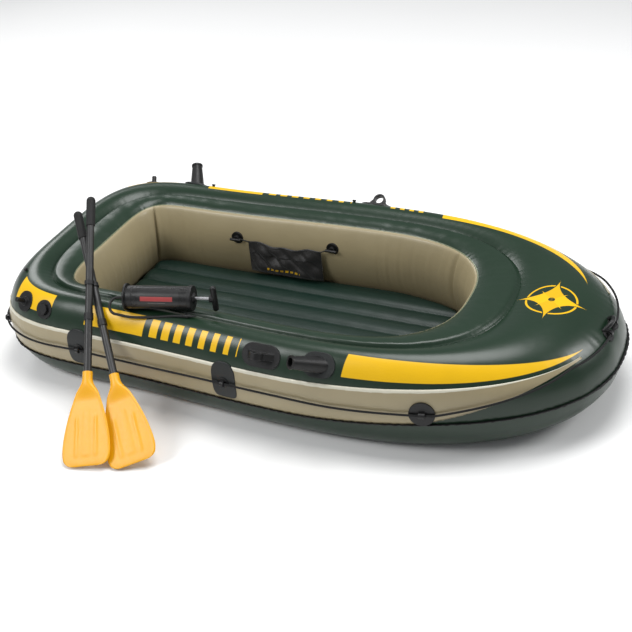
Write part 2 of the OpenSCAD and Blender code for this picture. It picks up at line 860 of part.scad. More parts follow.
module oar_a_blade() { color("gold") oar_a() blade_shape(); }
module oar_a_lower_shaft() { color("dimgray") oar_a() lower_shaft_shape(); }
module oar_a_collar() { color("black") oar_a() collar_shape(); }
module oar_a_upper_shaft() { color("dimgray") oar_a() upper_shaft_shape(); }
module oar_a_grip() { color("black") oar_a() grip_shape(); }
module oar_b_blade() { color("gold") oar_b() blade_shape(); }
module oar_b_lower_shaft() { color("dimgray") oar_b() lower_shaft_shape(); }
module oar_b_collar() { color("black") oar_b() collar_shape(); }
module oar_b_upper_shaft() { color("dimgray") oar_b() upper_shaft_shape(); }
module oar_b_grip() { color("black") oar_b() grip_shape(); }

// The clip that ties the oars is one piece: a short tube tight on oar a and a loose one round oar b.
tie_span = oar_b_tip - oar_a_tip;
tie_cos = oar_a_line * oar_b_line;
tie_a = (tie_span * oar_a_line - tie_cos * (tie_span * oar_b_line)) / (1 - tie_cos * tie_cos);
tie_b = (tie_cos * (tie_span * oar_a_line) - tie_span * oar_b_line) / (1 - tie_cos * tie_cos);
tie_gap = 0.5;
tie_wall = 4;
tie_h = 16;
module oar_tie_ring() {
  color("black")
    difference() {
      union() {
        oar_a() translate([0, 0, tie_a - tie_h / 2]) cylinder(r = shaft_r + tie_wall, h = tie_h);
        oar_b() translate([0, 0, tie_b - tie_h / 2]) cylinder(r = shaft_r + tie_wall, h = tie_h);
      }
      oar_a() translate([0, 0, tie_a - tie_h]) cylinder(r = shaft_r, h = 2 * tie_h);
      oar_b() translate([0, 0, tie_b - tie_h]) cylinder(r = shaft_r + tie_gap, h = 2 * tie_h);
    }
}

// ---- hand pump on the starboard deck ----
pump_yaw = 14;
pump_seat = 1;
base_h = 34;
base_r = 50;
pump_at = [-515, -half_w + 108, tube_height + base_r + pump_seat];
cap_h = 16;
module on_pump() {
  translate(pump_at) rotate([0, 0, pump_yaw]) rotate([0, 90, 0]) children();
}
module pump_base() {
  color("black") on_pump() {
    cylinder(r = base_r, h = 7);
    translate([0, 0, 7]) cylinder(r1 = base_r - 8, r2 = pump_r, h = base_h - 7);
  }
}
module pump_barrel() {
  color("dimgray") on_pump()
    difference() {
      translate([0, 0, base_h]) cylinder(r = pump_r, h = pump_len);
      translate([0, 0, base_h - 1]) cylinder(r = pump_r - pump_wall, h = pump_len + 2);
    }
}
rod_run = 0.06;
module pump_cap() {
  color("black") on_pump()
    difference() {
      union() {
        translate([0, 0, base_h + pump_len]) cylinder(r = pump_r + 3, h = cap_h);
        translate([0, 0, base_h + pump_len + cap_h]) cylinder(r1 = 20, r2 = 15, h = 8);
      }
      translate([0, 0, base_h + pump_len - 1]) cylinder(r = rod_bar_r + rod_run, h = cap_h + 20);
    }
}
label_t = 0.8;
module pump_label() {
  color("firebrick") on_pump()
    difference() {
      translate([0, 0, base_h + 22]) cylinder(r = pump_r + label_t, h = pump_len - 50);
      translate([0, 0, base_h + 21]) cylinder(r = pump_r, h = pump_len - 48);
      translate([-pump_r * 2, -pump_r * 0.2, 0]) cube([pump_r * 4, pump_r * 2, 400]);
      translate([pump_r * 0.3, -pump_r * 2, 0]) cube([pump_r * 2, pump_r * 4, 400]);
    }
}
piston_gap = 0.3;
piston_h = 16;
piston_z = base_h + 12;
handle_z = base_h + pump_len + cap_h + 8 + handle_gap;
module pump_piston() {
  color("gray") on_pump()
    translate([0, 0, piston_z]) cylinder(r = pump_r - pump_wall - piston_gap, h = piston_h);
}
module pump_rod() {
  color("lightgray") on_pump()
    translate([0, 0, piston_z + piston_h]) cylinder(r = rod_bar_r, h = handle_z - piston_z - piston_h);
}
bar_r = 11;
module pump_handle() {
  color("black") on_pump() translate([0, 0, handle_z]) {
    cylinder(r = 14, h = 16);
    translate([handle_len / 2 - bar_r, 0, 12 + bar_r / 2]) sphere(r = bar_r);
    translate([-handle_len / 2 + bar_r, 0, 12 + bar_r / 2]) sphere(r = bar_r);
    translate([-handle_len / 2 + bar_r, 0, 12 + bar_r / 2])
      rotate([0, 90, 0]) cylinder(r = bar_r, h = handle_len - 2 * bar_r);
  }
}
// The air hose leaves the base's end and lies forward along the deck beside the barrel.
port_len = 16;
port_side = 5;
module pump_port() {
  color("black") on_pump()
    translate([0, -port_side, -port_len]) cylinder(r = hose_r + 2, h = port_len);
}
hose_points = [
  [0, 0, 0], [-12, 0, 0], [-23.9, -1.6, -1.8], [-33.9, -6.1, -6.7], [-40.6, -12.9, -14.1],
  [-43, -20.9, -22.9], [-40.6, -28.9, -31.7], [-33.9, -35.7, -39.1], [-23.9, -40.2, -44],
  [-12, -41.8, -45.8], [4, -44, -48], [26, -47, -51], [56, -48, -53], [88, -47, -53],
  [120, -46, -51], [152, -46, -49], [184, -47, -45], [216, -49, -42], [248, -52, -40]
];
nozzle_len = 44;
function turned(p) = [
  p.x * cos(pump_yaw) - p.y * sin(pump_yaw),
  p.x * sin(pump_yaw) + p.y * cos(pump_yaw),
  p.z
];
hose_start = pump_at + turned([-port_len, -port_side, 0]);
function hose_at(k) = hose_start + turned(hose_points[k]);
hose_sides = 10;
module pump_hose() {
  last = len(hose_points) - 1;
  color("black") strip_solid([
    for (k = [0:last])
      let (
        m = hose_at(k),
        t = unit(hose_at(min(last, k + 1)) - hose_at(max(0, k - 1))),
        s = unit(cross(t, [0, 0, 1])),
        r = cross(s, t)
      )
        [
          for (a = [0:hose_sides - 1])
            m + hose_r * (r * cos(-360 * a / hose_sides) + s * sin(-360 * a / hose_sides))
        ]
  ]);
}
module pump_nozzle() {
  last = len(hose_points) - 1;
  d = unit(hose_at(last) - hose_at(last - 1));
  color("black")
    translate(hose_at(last))
      rotate([0, acos(d.z), atan2(d.y, d.x)]) {
        cylinder(r = hose_r + 2, h = 14);
        translate([0, 0, 14]) cylinder(r1 = hose_r, r2 = hose_r - 3, h = nozzle_len - 14);
      }
}

outer_chamber();
side_panel();
inner_chamber();
inner_wall_panel();
weld_flange();
bottom_sheet();
floor_mat();
grab_rope();
rope_patches();
rope_eyes();
rope_discs();
bow_fitting();
bow_handle();
oarlock_starboard();
oarlock_port();
rod_holder_starboard();
rod_holder_port();
rod_holder_pads();
motor_fitting_starboard();
motor_fitting_port();
deck_studs();
valve_base();
valve_insert();
valve_cap();
wall_discs();
wall_toggles();
pouch();
pouch_cords();
oar_a_blade();
oar_a_lower_shaft();
oar_a_collar();
oar_a_upper_shaft();
oar_a_grip();
oar_tie_ring();
oar_b_blade();
oar_b_lower_shaft();
oar_b_collar();
oar_b_upper_shaft();
oar_b_grip();
pump_barrel();
pump_base();
pump_cap();
pump_label();
pump_port();
pump_hose();
pump_nozzle();
pump_rod();
pump_piston();
pump_handle();
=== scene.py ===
"""Looks of a two-person inflatable boat with its rope, fittings, pouch, oars and hand pump."""

import json
import math

import bmesh
import bpy
import numpy as np
from bpy.props import FloatProperty, FloatVectorProperty, IntProperty, PointerProperty
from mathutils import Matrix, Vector

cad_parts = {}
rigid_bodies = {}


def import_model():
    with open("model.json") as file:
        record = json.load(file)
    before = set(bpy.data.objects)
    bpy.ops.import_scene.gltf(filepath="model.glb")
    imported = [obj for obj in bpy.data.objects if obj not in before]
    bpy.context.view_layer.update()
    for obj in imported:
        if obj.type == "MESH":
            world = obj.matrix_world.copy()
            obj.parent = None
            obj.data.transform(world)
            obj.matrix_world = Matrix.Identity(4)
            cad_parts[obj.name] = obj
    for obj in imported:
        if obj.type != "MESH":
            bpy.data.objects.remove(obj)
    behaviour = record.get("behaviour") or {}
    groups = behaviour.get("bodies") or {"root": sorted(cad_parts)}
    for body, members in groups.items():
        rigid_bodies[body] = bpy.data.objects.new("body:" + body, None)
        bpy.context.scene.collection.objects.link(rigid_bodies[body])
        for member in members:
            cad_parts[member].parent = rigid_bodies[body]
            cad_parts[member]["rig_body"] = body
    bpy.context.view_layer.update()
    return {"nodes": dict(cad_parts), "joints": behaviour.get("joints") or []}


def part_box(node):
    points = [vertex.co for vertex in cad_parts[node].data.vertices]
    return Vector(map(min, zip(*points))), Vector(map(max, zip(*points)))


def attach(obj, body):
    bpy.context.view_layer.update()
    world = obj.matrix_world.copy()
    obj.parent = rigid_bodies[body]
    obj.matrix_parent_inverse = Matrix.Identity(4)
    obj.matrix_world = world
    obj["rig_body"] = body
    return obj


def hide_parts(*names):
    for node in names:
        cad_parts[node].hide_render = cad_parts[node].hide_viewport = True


bl_info = {
    "name": "Inflatable Boat",
    "version": (1, 0, 0),
    "blender": (4, 5, 0),
    "location": "3D View > Sidebar > Boat",
    "description": "Builds the skins, seams, rope, pouch, oars and finishes of an inflatable boat",
    "category": "Add Mesh",
}

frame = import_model()
NODES = frame["nodes"]
JOINTS = {joint["name"]: joint for joint in frame["joints"]}
HULL_LOW, HULL_HIGH = (np.array(corner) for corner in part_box("outer_chamber"))
HULL_SIZE = np.round(HULL_HIGH - HULL_LOW, 2)

# The plan curves run through numbered stations: the bow, one side, the stern and back.
BOW_STEPS = 15
SIDE_STEPS = 4
STERN_STEPS = 12
HALF_STEPS = BOW_STEPS + SIDE_STEPS + STERN_STEPS
STATIONS = 2 * HALF_STEPS
PI = math.pi


# ---------------------------------------------------------------------------------------------
# Sizes and colours
# ---------------------------------------------------------------------------------------------


def length(name, default, description):
    return FloatProperty(
        name=name, default=default, min=0, unit="LENGTH", description=description
    )


def colour(name, default, description):
    return FloatVectorProperty(
        name=name, default=default, size=3, min=0, max=1, subtype="COLOR", description=description
    )


class HullSizes(bpy.types.PropertyGroup):
    """Sizes of the tubes, seams and floor."""

    hull_length: length("Hull length", float(HULL_SIZE[0]), "Overall length over the tubes")
    hull_width: length("Hull width", float(HULL_SIZE[1]), "Overall width over the tubes")
    tube_height: length("Tube height", float(HULL_SIZE[2]), "Height of the outer chamber")
    stern_taper: length("Stern taper", 0.026, "How much narrower each side is at the stern")
    bow_curve: length("Bow curve", 1.05, "From the bow tip to the middle of the bow curve")
    stern_curve: length("Stern curve", 0.557, "From the stern to the middle of the stern curve")
    bow_tube: length("Bow tube", 0.5, "Width of the outer chamber at the bow")
    side_tube: length("Side tube", 0.19, "Width of the outer chamber along the sides")
    stern_tube: length("Stern tube", 0.205, "Width of the outer chamber at the stern")
    bow_deck: length("Bow deck", 0.55, "Width of the whole deck at the bow")
    side_deck: length("Side deck", 0.213, "Width of the whole deck along the sides")
    stern_deck: length("Stern deck", 0.272, "Width of the whole deck at the stern")
    flange_side: length("Flange at the sides", 0.12, "Height of the weld flange at the sides")
    flange_bow: length("Flange at the bow", 0.19, "Height of the weld flange at the bow")
    flange_width: length("Flange width", 0.01, "How far the weld flange stands out")
    band_side: length("Panel at the sides", 0.268, "Top of the beige panel at the sides")
    band_bow: length("Panel at the bow", 0.306, "Top of the beige panel at the bow")
    groove_drop: length("Groove drop", 0.028, "From the crown to the groove between chambers")
    rim_drop: length("Rim drop", 0.038, "From the crown to the cockpit rim")
    wall_bulge: length("Wall bulge", 0.038, "How far the cockpit wall bulges inward")
    joint_height: length("Joint height", 0.045, "Height at which the two chambers part below")
    floor_height: length("Floor height", 0.0885, "Height of the floor tubes")
    floor_pitch: length("Floor pitch", 0.0874, "From one floor tube to the next")
    pucker: length("Pucker depth", 0.0008, "Depth of the small folds beside the welds")
    rope_radius: length("Rope radius", 0.004, "Radius of the grab rope")
    rope_off: length("Rope distance", 0.013, "Height of the rope's middle above the skin")
    rope_side: length("Rope at the sides", 0.2, "Height of the rope at the sides")
    rope_bow: length("Rope at the bow", 0.29, "Height of the rope at the bow")
    rope_sag: length("Rope sag", 0.006, "How far the rope sags between its eyes")
    skin_rings: IntProperty(name="Skin rings", default=560, min=80, description="Rings per tube")


class Colours(bpy.types.PropertyGroup):
    """Colours of the films, plastics and cloth."""

    green: colour("Green film", (0.0065, 0.022, 0.0100), "Deck and outer skin")
    floor: colour("Floor film", (0.004, 0.016, 0.011), "Floor and bottom")
    beige: colour("Beige film", (0.30, 0.25, 0.145), "Side and cockpit panels")
    yellow: colour("Printed yellow", (0.72, 0.42, 0.0), "Stripes and bars")
    # Painted highlight: this pale colour stands in for the sheen along the weld ridge above the
    # beige panel.
    weld: colour("Pale weld", (0.62, 0.60, 0.50), "Painted highlight along the weld above the beige panel")
    black: colour("Black vinyl", (0.006, 0.006, 0.0062), "Moulded fittings")
    charcoal: colour("Charcoal film", (0.011, 0.013, 0.013), "Patches and pads")
    cloth: colour("Pouch cloth", (0.009, 0.0085, 0.009), "Pouch")
    blade: colour("Blade plastic", (0.74, 0.35, 0.0), "Oar blades")
    red: colour("Label red", (0.17, 0.008, 0.008), "Pump label")


def hull_sizes():
    """The hull's sizes as the scene holds them."""
    return bpy.context.scene.boat_hull


def colours():
    """The colours as the scene holds them."""
    return bpy.context.scene.boat_colours


# ---------------------------------------------------------------------------------------------
# Curves and surfaces
# ---------------------------------------------------------------------------------------------


def mix(a, b, t):
    """A line from a to b: a plus (b - a) t."""
    return a + (b - a) * t


def smooth(t):
    """Zero to one with level ends: 3 t squared minus 2 t cubed."""
    t = np.clip(t, 0.0, 1.0)
    return t * t * (3.0 - 2.0 * t)


def bell(x, width):
    """A bump of height one: e to the minus (x over width) squared."""
    return np.exp(-((x / width) ** 2))


def unit(v):
    """Vectors divided by their own lengths."""
    return v / np.linalg.norm(v, axis=-1, keepdims=True)


def chamber_curves():
    """The outer edge, the joint of the chambers and the cockpit rim.

    Each is (bow length, half width, power, stern length, half width, power)."""
    h = hull_sizes()
    half = h.hull_width / 2
    back = half - h.stern_taper
    outer = (h.bow_curve, half, 2.33, h.stern_curve, back, 3.98)
    joint = (
        h.bow_curve - h.bow_tube, half - h.side_tube, 2.8,
        h.stern_curve - h.stern_tube, back - h.side_tube, 3.2,
    )
    rim = (
        h.bow_curve - h.bow_deck, half - h.side_deck, 2.6,
        h.stern_curve - h.stern_deck, back - h.side_deck, 5.5,
    )
    return outer, joint, rim


def lobe(a, b, power, t):
    """A superellipse in polar form: (|cos t|/a)^p + (|sin t|/b)^p, all to the power -1/p."""
    r = ((np.abs(np.cos(t)) / a) ** power + (np.abs(np.sin(t)) / b) ** power) ** (-1.0 / power)
    return r * np.cos(t), r * np.sin(t)


def plan_curve(j, curve):
    """A point of one plan curve at station j: a bow lobe, an eased straight side and a stern lobe,
    mirrored for the starboard half."""
    h = hull_sizes()
    bow_x = h.hull_length / 2 - h.bow_curve
    stern_x = h.stern_curve - h.hull_length / 2
    j = np.mod(j, STATIONS)
    port = j <= HALF_STEPS
    k = np.where(port, j, STATIONS - j)
    ax, ay = lobe(curve[0], curve[1], curve[2], PI / 2 * k / BOW_STEPS)
    past = (k - BOW_STEPS - SIDE_STEPS) / STERN_STEPS
    cx, cy = lobe(curve[3], curve[4], curve[5], PI / 2 * (1 + past))
    side = (k - BOW_STEPS) / SIDE_STEPS
    x = np.select([side <= 0, side < 1], [bow_x + ax, mix(bow_x, stern_x, side)], stern_x + cx)
    y = np.select([side <= 0, side < 1], [ay, mix(curve[1], curve[4], smooth(side))], cy)
    return np.stack([x, np.where(port, y, -y)], axis=-1)


def even_stations(count, start=0.0, end=STATIONS, closed=True):
    """Station numbers spaced evenly along the outer edge, and their distance from the start."""
    outer = chamber_curves()[0]
    dense = np.linspace(start, end, 6001)
    steps = np.linalg.norm(np.diff(plan_curve(dense, outer), axis=0), axis=1)
    run = np.concatenate([[0.0], np.cumsum(steps)])
    wanted = np.linspace(0.0, run[-1], count, endpoint=not closed)
    return np.interp(wanted, run, dense), wanted


def station_at(x, side):
    """The station whose outer edge lies at x on one side, port being +1."""
    dense = np.linspace(0.0, HALF_STEPS, 3001)
    xs = plan_curve(dense, chamber_curves()[0])[:, 0]
    j = float(np.interp(-x, -xs, dense))
    return j if side > 0 else STATIONS - j


def outer_point(j, z, inner=False):
    """The outer chamber's skin: between the outer edge and the joint by half of 1 -+ sqrt(1 - s^2),
    where s is the height from the tube's middle over its half height."""
    outer, joint, _ = chamber_curves()
    s = np.clip(2 * z / hull_sizes().tube_height - 1, -1, 1)
    c = np.sqrt(1 - s * s)
    share = (0.5 + c / 2 if inner else 0.5 - c / 2)[..., None]
    xy = mix(plan_curve(j, outer), plan_curve(j, joint), share)
    return np.concatenate([xy, np.broadcast_to(z, xy.shape[:-1])[..., None]], axis=-1)


def girth_point(j, a):
    """The outer chamber's skin by angle a round the tube: 0 below, a half turn at the crown."""
    outer, joint, _ = chamber_curves()
    z = hull_sizes().tube_height / 2 * (1 - np.cos(a))
    share = (0.5 - np.sin(a) / 2)[..., None]
    xy = mix(plan_curve(j, outer), plan_curve(j, joint), share)
    return np.concatenate([xy, np.broadcast_to(z, xy.shape[:-1])[..., None]], axis=-1)


def skin_frame(j, z):
    """Point, station direction, upward direction and outward normal of the outer skin."""
    j, z = np.broadcast_arrays(np.asarray(j, float), np.asarray(z, float))
    p = outer_point(j, z)
    x = outer_point(j + 0.1, z) - outer_point(j - 0.1, z)
    up = outer_point(j, z + 0.0005) - outer_point(j, z - 0.0005)
    x = unit(x * np.array([1, 1, 0]))
    n = unit(np.cross(x, up))
    return p, x, unit(np.cross(n, x)), n


def off_skin(j, z, off):
    """A point of the outer skin moved out along its normal."""
    p, _, _, n = skin_frame(j, z)
    return p + n * np.asarray(off)[..., None]


def from_bow(j):
    """How many stations lie between j and the bow, the shorter way round."""
    j = np.mod(j, STATIONS)
    return np.minimum(j, STATIONS - j)


def bow_share(j):
    """One at the bow, zero where the straight side starts, smooth between."""
    return smooth(1 - from_bow(j) / BOW_STEPS)


def flange_height(j):
    """The weld flange's level, rising from the sides to the bow."""
    return mix(hull_sizes().flange_side, hull_sizes().flange_bow, bow_share(j))


def band_height(j):
    """The top of the beige panel, rising from the sides to the bow."""
    return mix(hull_sizes().band_side, hull_sizes().band_bow, bow_share(j))


def wall_point(j, z, off=0.0):
    """The cockpit wall: the rim curve moved inward by the bulge times sin^0.8 of the depth."""
    h = hull_sizes()
    outer, _, rim = chamber_curves()
    top = h.tube_height - h.rim_drop
    t = np.clip((top - z) / (top - h.joint_height), 0, 1)
    shape = np.sin(PI * t) ** 0.8
    at = plan_curve(j, rim)
    inward = unit(at - plan_curve(j, outer))
    xy = at + inward * (h.wall_bulge * shape + off)[..., None]
    return np.concatenate([xy, np.broadcast_to(z, xy.shape[:-1])[..., None]], axis=-1)


def ripple(run, whole, wave, seed):
    """A closed ripple of height about one: six cosines with whole numbers of waves and seeded
    phases."""
    rng = np.random.default_rng(seed)
    total = np.zeros_like(run)
    for k in range(6):
        waves = round(whole / (wave * (0.6 + 0.25 * k)))
        total = total + np.cos(2 * PI * waves * run / whole + rng.uniform(0, 2 * PI))
    return total / 3.0


def grid_normals(points, wrap_u, wrap_v):
    """Unit normals of a grid from the cross product of its central differences."""
    du = np.roll(points, -1, 0) - np.roll(points, 1, 0)
    dv = np.roll(points, -1, 1) - np.roll(points, 1, 1)
    if not wrap_u:
        du[0], du[-1] = points[1] - points[0], points[-1] - points[-2]
    if not wrap_v:
        dv[:, 0], dv[:, -1] = points[:, 1] - points[:, 0], points[:, -1] - points[:, -2]
    return unit(np.cross(du, dv))


# ---------------------------------------------------------------------------------------------
# Meshes
# ---------------------------------------------------------------------------------------------


def loop_mesh(name, rings, closed, uv=None):
    """A mesh through rings of points, an array (rings, points, 3). Each ring is a closed loop; the
    last ring joins the first when closed, and otherwise both ends are closed by a middle point."""
    n, m, _ = rings.shape
    points = rings.reshape(-1, 3)
    i = np.arange(n if closed else n - 1)[:, None]
    k = np.arange(m)[None, :]
    nxt, right = (i + 1) % n, (k + 1) % m
    quads = np.stack([i * m + k, nxt * m + k, nxt * m + right, i * m + right], -1).reshape(-1, 4)
    u, v = (np.arange(n + 1), np.arange(m + 1)) if uv is None else uv
    corner_u = np.stack([u[i], u[i + 1], u[i + 1], u[i]], -1) + 0 * k[..., None]
    corner_v = np.stack([v[k], v[k], v[k + 1], v[k + 1]], -1) + 0 * i[..., None]
    faces = list(map(tuple, quads.tolist()))
    uvs = [np.stack([corner_u, corner_v], -1).reshape(-1, 2)]
    if not closed:
        for ring, flip in ((0, False), (n - 1, True)):
            hub = len(points)
            points = np.vstack([points, rings[ring].mean(0)])
            fan = [(hub, ring * m + c, ring * m + (c + 1) % m) for c in range(m)]
            faces += [f[::-1] for f in fan] if flip else fan
            uvs.append(np.full((3 * m, 2), [u[ring], 0.0]))
    mesh = bpy.data.meshes.new(name)
    mesh.from_pydata(points.tolist(), [], faces)
    layer = mesh.uv_layers.new(name="along")
    layer.data.foreach_set("uv", np.concatenate(uvs).astype(np.float32).ravel())
    mesh.polygons.foreach_set("use_smooth", np.ones(len(mesh.polygons), bool))
    work = bmesh.new()
    work.from_mesh(mesh)
    bmesh.ops.recalc_face_normals(work, faces=work.faces)
    work.to_mesh(mesh)
    work.free()
    return mesh


def add_piece(name, mesh, body, finish, stands_for=()):
    """An object for one mesh, riding on a body and standing for its CAD nodes."""
    piece = bpy.data.objects.new(name, mesh)
    bpy.context.scene.collection.objects.link(piece)
    mesh.materials.append(finish)
    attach(piece, body)
    if stands_for:
        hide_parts(*stands_for)
    return piece


def tube_rings(path, radius, sides, up=(0, 0, 1)):
    """Circles of a radius square to a path, with one side turned towards up."""
    along = unit(np.gradient(path, axis=0))
    side = unit(np.cross(along, np.asarray(up, float)))
    top = np.cross(side, along)
    a = np.linspace(0, 2 * PI, sides, endpoint=False)[None, :, None]
    radius = np.broadcast_to(radius, len(path))[:, None, None]
    return path[:, None] + radius * (np.cos(a) * top[:, None] + np.sin(a) * side[:, None])


def smooth_path(points, count):
    """A cubic Hermite spline through given points, with its knots at their summed chords and its
    slopes from their differences, sampled evenly in the knots."""
    points = np.asarray(points, float)
    knots = np.concatenate([[0], np.cumsum(np.linalg.norm(np.diff(points, axis=0), axis=1))])
    slopes = np.gradient(points, knots, axis=0)
    at = np.linspace(0, knots[-1], count)
    i = np.clip(np.searchsorted(knots, at, side="right") - 1, 0, len(points) - 2)
    gap = (knots[i + 1] - knots[i])[:, None]
    t = (at - knots[i])[:, None] / gap
    return (
        (2 * t**3 - 3 * t**2 + 1) * points[i] + (t**3 - 2 * t**2 + t) * gap * slopes[i]
        + (3 * t**2 - 2 * t**3) * points[i + 1] + (t**3 - t**2) * gap * slopes[i + 1]
    )


# ---------------------------------------------------------------------------------------------
# Finishes
# ---------------------------------------------------------------------------------------------


class Wire:
    """One number in a node tree, with Python's operators for its maths."""

    def __init__(self, finish, socket):
        self.finish = finish
        self.socket = socket

    def maths(self, operation, *values):
        return self.finish.node("ShaderNodeMath", {"operation": operation}, *values)

    def __add__(self, other):
        return self.maths("ADD", self, other)

    def __sub__(self, other):
        return self.maths("SUBTRACT", self, other)

    def __rsub__(self, other):
        return self.maths("SUBTRACT", other, self)

    def __mul__(self, other):
        return self.maths("MULTIPLY", self, other)

    def __truediv__(self, other):
        return self.maths("DIVIDE", self, other)

    __radd__ = __add__
    __rmul__ = __mul__

    def __abs__(self):
        return self.maths("ABSOLUTE", self)

    def power(self, other):
        return self.maths("POWER", self, other)

    def wave(self):
        return self.maths("SINE", self)

    def part(self):
        return self.maths("FRACT", self)

    def below(self, limit, soft=0.0008):
        """One where this is under the limit, fading over a soft width."""
        fade = (limit - self) / soft + 0.5
        return self.maths("MINIMUM", self.maths("MAXIMUM", fade, 0.0), 1.0)

    def above(self, limit, soft=0.0008):
        return 1.0 - self.below(limit, soft)

    def either(self, other):
        return self.maths("MAXIMUM", self, other)

    def between(self, low, high, soft=0.0008):
        return self.above(low, soft) * self.below(high, soft)


class Finish:
    """A material made of one principled shader and the nodes that feed it."""

    def __init__(self, name, roughness=0.4, **constants):
        self.material = bpy.data.materials.new(name)
        self.material.use_nodes = True
        self.tree = self.material.node_tree
        self.shader = next(n for n in self.tree.nodes if n.type == "BSDF_PRINCIPLED")
        self.shader.inputs["Roughness"].default_value = roughness
        for socket, value in constants.items():
            self.shader.inputs[socket.replace("_", " ")].default_value = value

    def plug(self, socket, value):
        if isinstance(value, Wire):
            self.tree.links.new(value.socket, socket)
        elif isinstance(value, bpy.types.NodeSocket):
            self.tree.links.new(value, socket)
        elif socket.type == "RGBA":
            socket.default_value = (*value[:3], 1.0)
        else:
            socket.default_value = value

    def node(self, kind, settings, *values, output=0, places=None, **named):
        """Adds one node: its settings first, then its inputs in order, at numbered places or by
        name."""
        node = self.tree.nodes.new(kind)
        for key, value in settings.items():
            setattr(node, key, value)
        for socket, value in zip(node.inputs, values):
            self.plug(socket, value)
        for place, value in (places or {}).items():
            self.plug(node.inputs[place], value)
        for key, value in named.items():
            self.plug(node.inputs[key.replace("_", " ")], value)
        socket = node.outputs[output]
        return Wire(self, socket) if socket.type == "VALUE" else socket

    def place(self, stretch=(1, 1, 1)):
        spot = self.node("ShaderNodeTexCoord", {}, output="Object")
        return self.node("ShaderNodeMapping", {}, Vector=spot, Scale=stretch)

    def reach(self, axis):
        """How far a point lies along an axis."""
        spot = self.node("ShaderNodeTexCoord", {}, output="Object")
        settings = {"operation": "DOT_PRODUCT"}
        direction = [float(v) for v in axis]
        return self.node("ShaderNodeVectorMath", settings, spot, direction, output="Value")

    def split(self, vector):
        return [self.node("ShaderNodeSeparateXYZ", {}, vector, output=k) for k in range(3)]

    def along(self):
        """The piece's own length and breadth from its UV map."""
        flat = self.node("ShaderNodeUVMap", {"uv_map": "along"})
        return self.split(flat)[:2]

    def noise(self, scale, detail=3.0, stretch=(1, 1, 1), rough=0.5):
        return self.node(
            "ShaderNodeTexNoise", {}, Vector=self.place(stretch), Scale=scale,
            Detail=detail, Roughness=rough, output="Fac",
        )

    def blend(self, amount, first, second):
        """A mix of two colours. Counted from zero, the node takes its colours at places 6 and 7 and
        gives its result at place 2."""
        places = {0: amount, 6: first, 7: second}
        return self.node("ShaderNodeMix", {"data_type": "RGBA"}, output=2, places=places)

    def shade(self, base, amount, noise):
        """A colour that wanders by an amount to both sides with a noise."""
        dark = [c * (1 - amount) for c in base]
        light = [min(1.0, c * (1 + amount)) for c in base]
        return self.blend(noise, dark, light)

    def finish(self, base=None, roughness=None, height=None, distance=0.001, strength=0.5):
        if base is not None:
            self.plug(self.shader.inputs["Base Color"], base)
        if roughness is not None:
            self.plug(self.shader.inputs["Roughness"], roughness)
        if height is not None:
            bump = self.node(
                "ShaderNodeBump", {}, Strength=strength, Distance=distance, Height=height
            )
            self.plug(self.shader.inputs["Normal"], bump)
        return self.material


def film_relief(f):
    """Soft film: slack swells a hand wide, small creases and a fine grain."""
    swell = f.noise(7.0, 2.0)
    crease = abs(f.noise(26.0, 2.0, (1, 1, 1.6)) - 0.5)
    return swell + crease * 0.14 + f.noise(420.0, 2.0) * 0.012


PORT_SHIFT = 0.11
BAR_PITCH = 0.052
BAR_START = -0.447
STAR_AT = (0.925, 0.01)
STAR_POWER = 0.55
EIGHTH_TURN = 0.7071


def printed_skin():
    """Green film with generic yellow stripes, slanted bars and a compass star at the bow."""
    c = colours()
    f = Finish("green film printed", Specular_IOR_Level=0.42, Coat_Weight=0.05, Coat_Roughness=0.3)
    x, y, z = f.split(f.place())
    _, girth = f.along()
    port = y.above(0.0)
    # The port marks sit higher on the tube, so that they are seen over its crown.
    around, girth = girth, girth - port * PORT_SHIFT
    lean = x - girth * 0.06
    side = girth.between(0.725, 0.885, 0.004)
    # The long stripe narrows to a point beside the panel's bow end.
    tip = (x - 0.36) / (0.72 - port * 0.07)
    stripe = lean.above(0.315, 0.002) * girth.below(0.925 - tip * tip * 0.11 - tip * 0.07, 0.004)
    stripe = stripe * girth.above(tip * tip * 0.023 + 0.722, 0.004) * x.below(1.08)
    # Flat blocks of yellow with slanted ends.
    block = girth.between(0.715, 0.905, 0.004) * lean.between(-0.73, -0.475, 0.002)
    corner = around.between(0.735, 0.93, 0.004) * lean.between(-1.085, -0.885, 0.002)
    # A row of slanted bars that thin out towards the bow.
    past = lean - BAR_START
    beat = (past / BAR_PITCH).part()
    bars = beat.below(0.66 - past * 0.75, 0.03) * lean.between(BAR_START, -0.079)
    count = ((lean - 0.09) / 0.04).part()
    short = count.below(0.5, 0.04) * lean.between(0.09, 0.25) * port
    marks = stripe.either(block).either(corner).either(bars.either(short) * side)
    # The star: |x|^0.55 + |y|^0.55 is under a limit, once upright and once turned by an eighth.
    sx, sy = x - STAR_AT[0], y - STAR_AT[1]
    tx, ty = (sx + sy) * EIGHTH_TURN, (sx - sy) * EIGHTH_TURN
    upright = abs(sx).power(STAR_POWER) + abs(sy).power(STAR_POWER)
    turned = abs(tx).power(STAR_POWER) + abs(ty).power(STAR_POWER)
    reach = (sx * sx + sy * sy).power(0.5)
    top = z.above(0.28)
    star = upright.below(0.32, 0.004).either(turned.below(0.23, 0.004))
    edge = upright.between(0.32, 0.34, 0.003)
    ring = reach.between(0.084, 0.091, 0.001)
    hub = reach.between(0.0, 0.012, 0.001)
    emblem = star.either(ring * (1 - edge)) * (1 - hub) * top
    half = (tx * ty * -1).above(0.0, 0.00002) * star * top
    base = f.shade(c.green, 0.16, f.noise(5.0, 3.0))
    ink = f.shade(c.yellow, 0.05, f.noise(9.0, 3.0))
    base = f.blend(marks.either(emblem), base, ink)
    base = f.blend(half * 0.32, base, [v * 0.55 for v in c.yellow])
    rough = f.noise(60.0, 2.0) * 0.08 + 0.27 + marks * 0.05
    return f.finish(base, rough, film_relief(f), 0.005, 0.25)


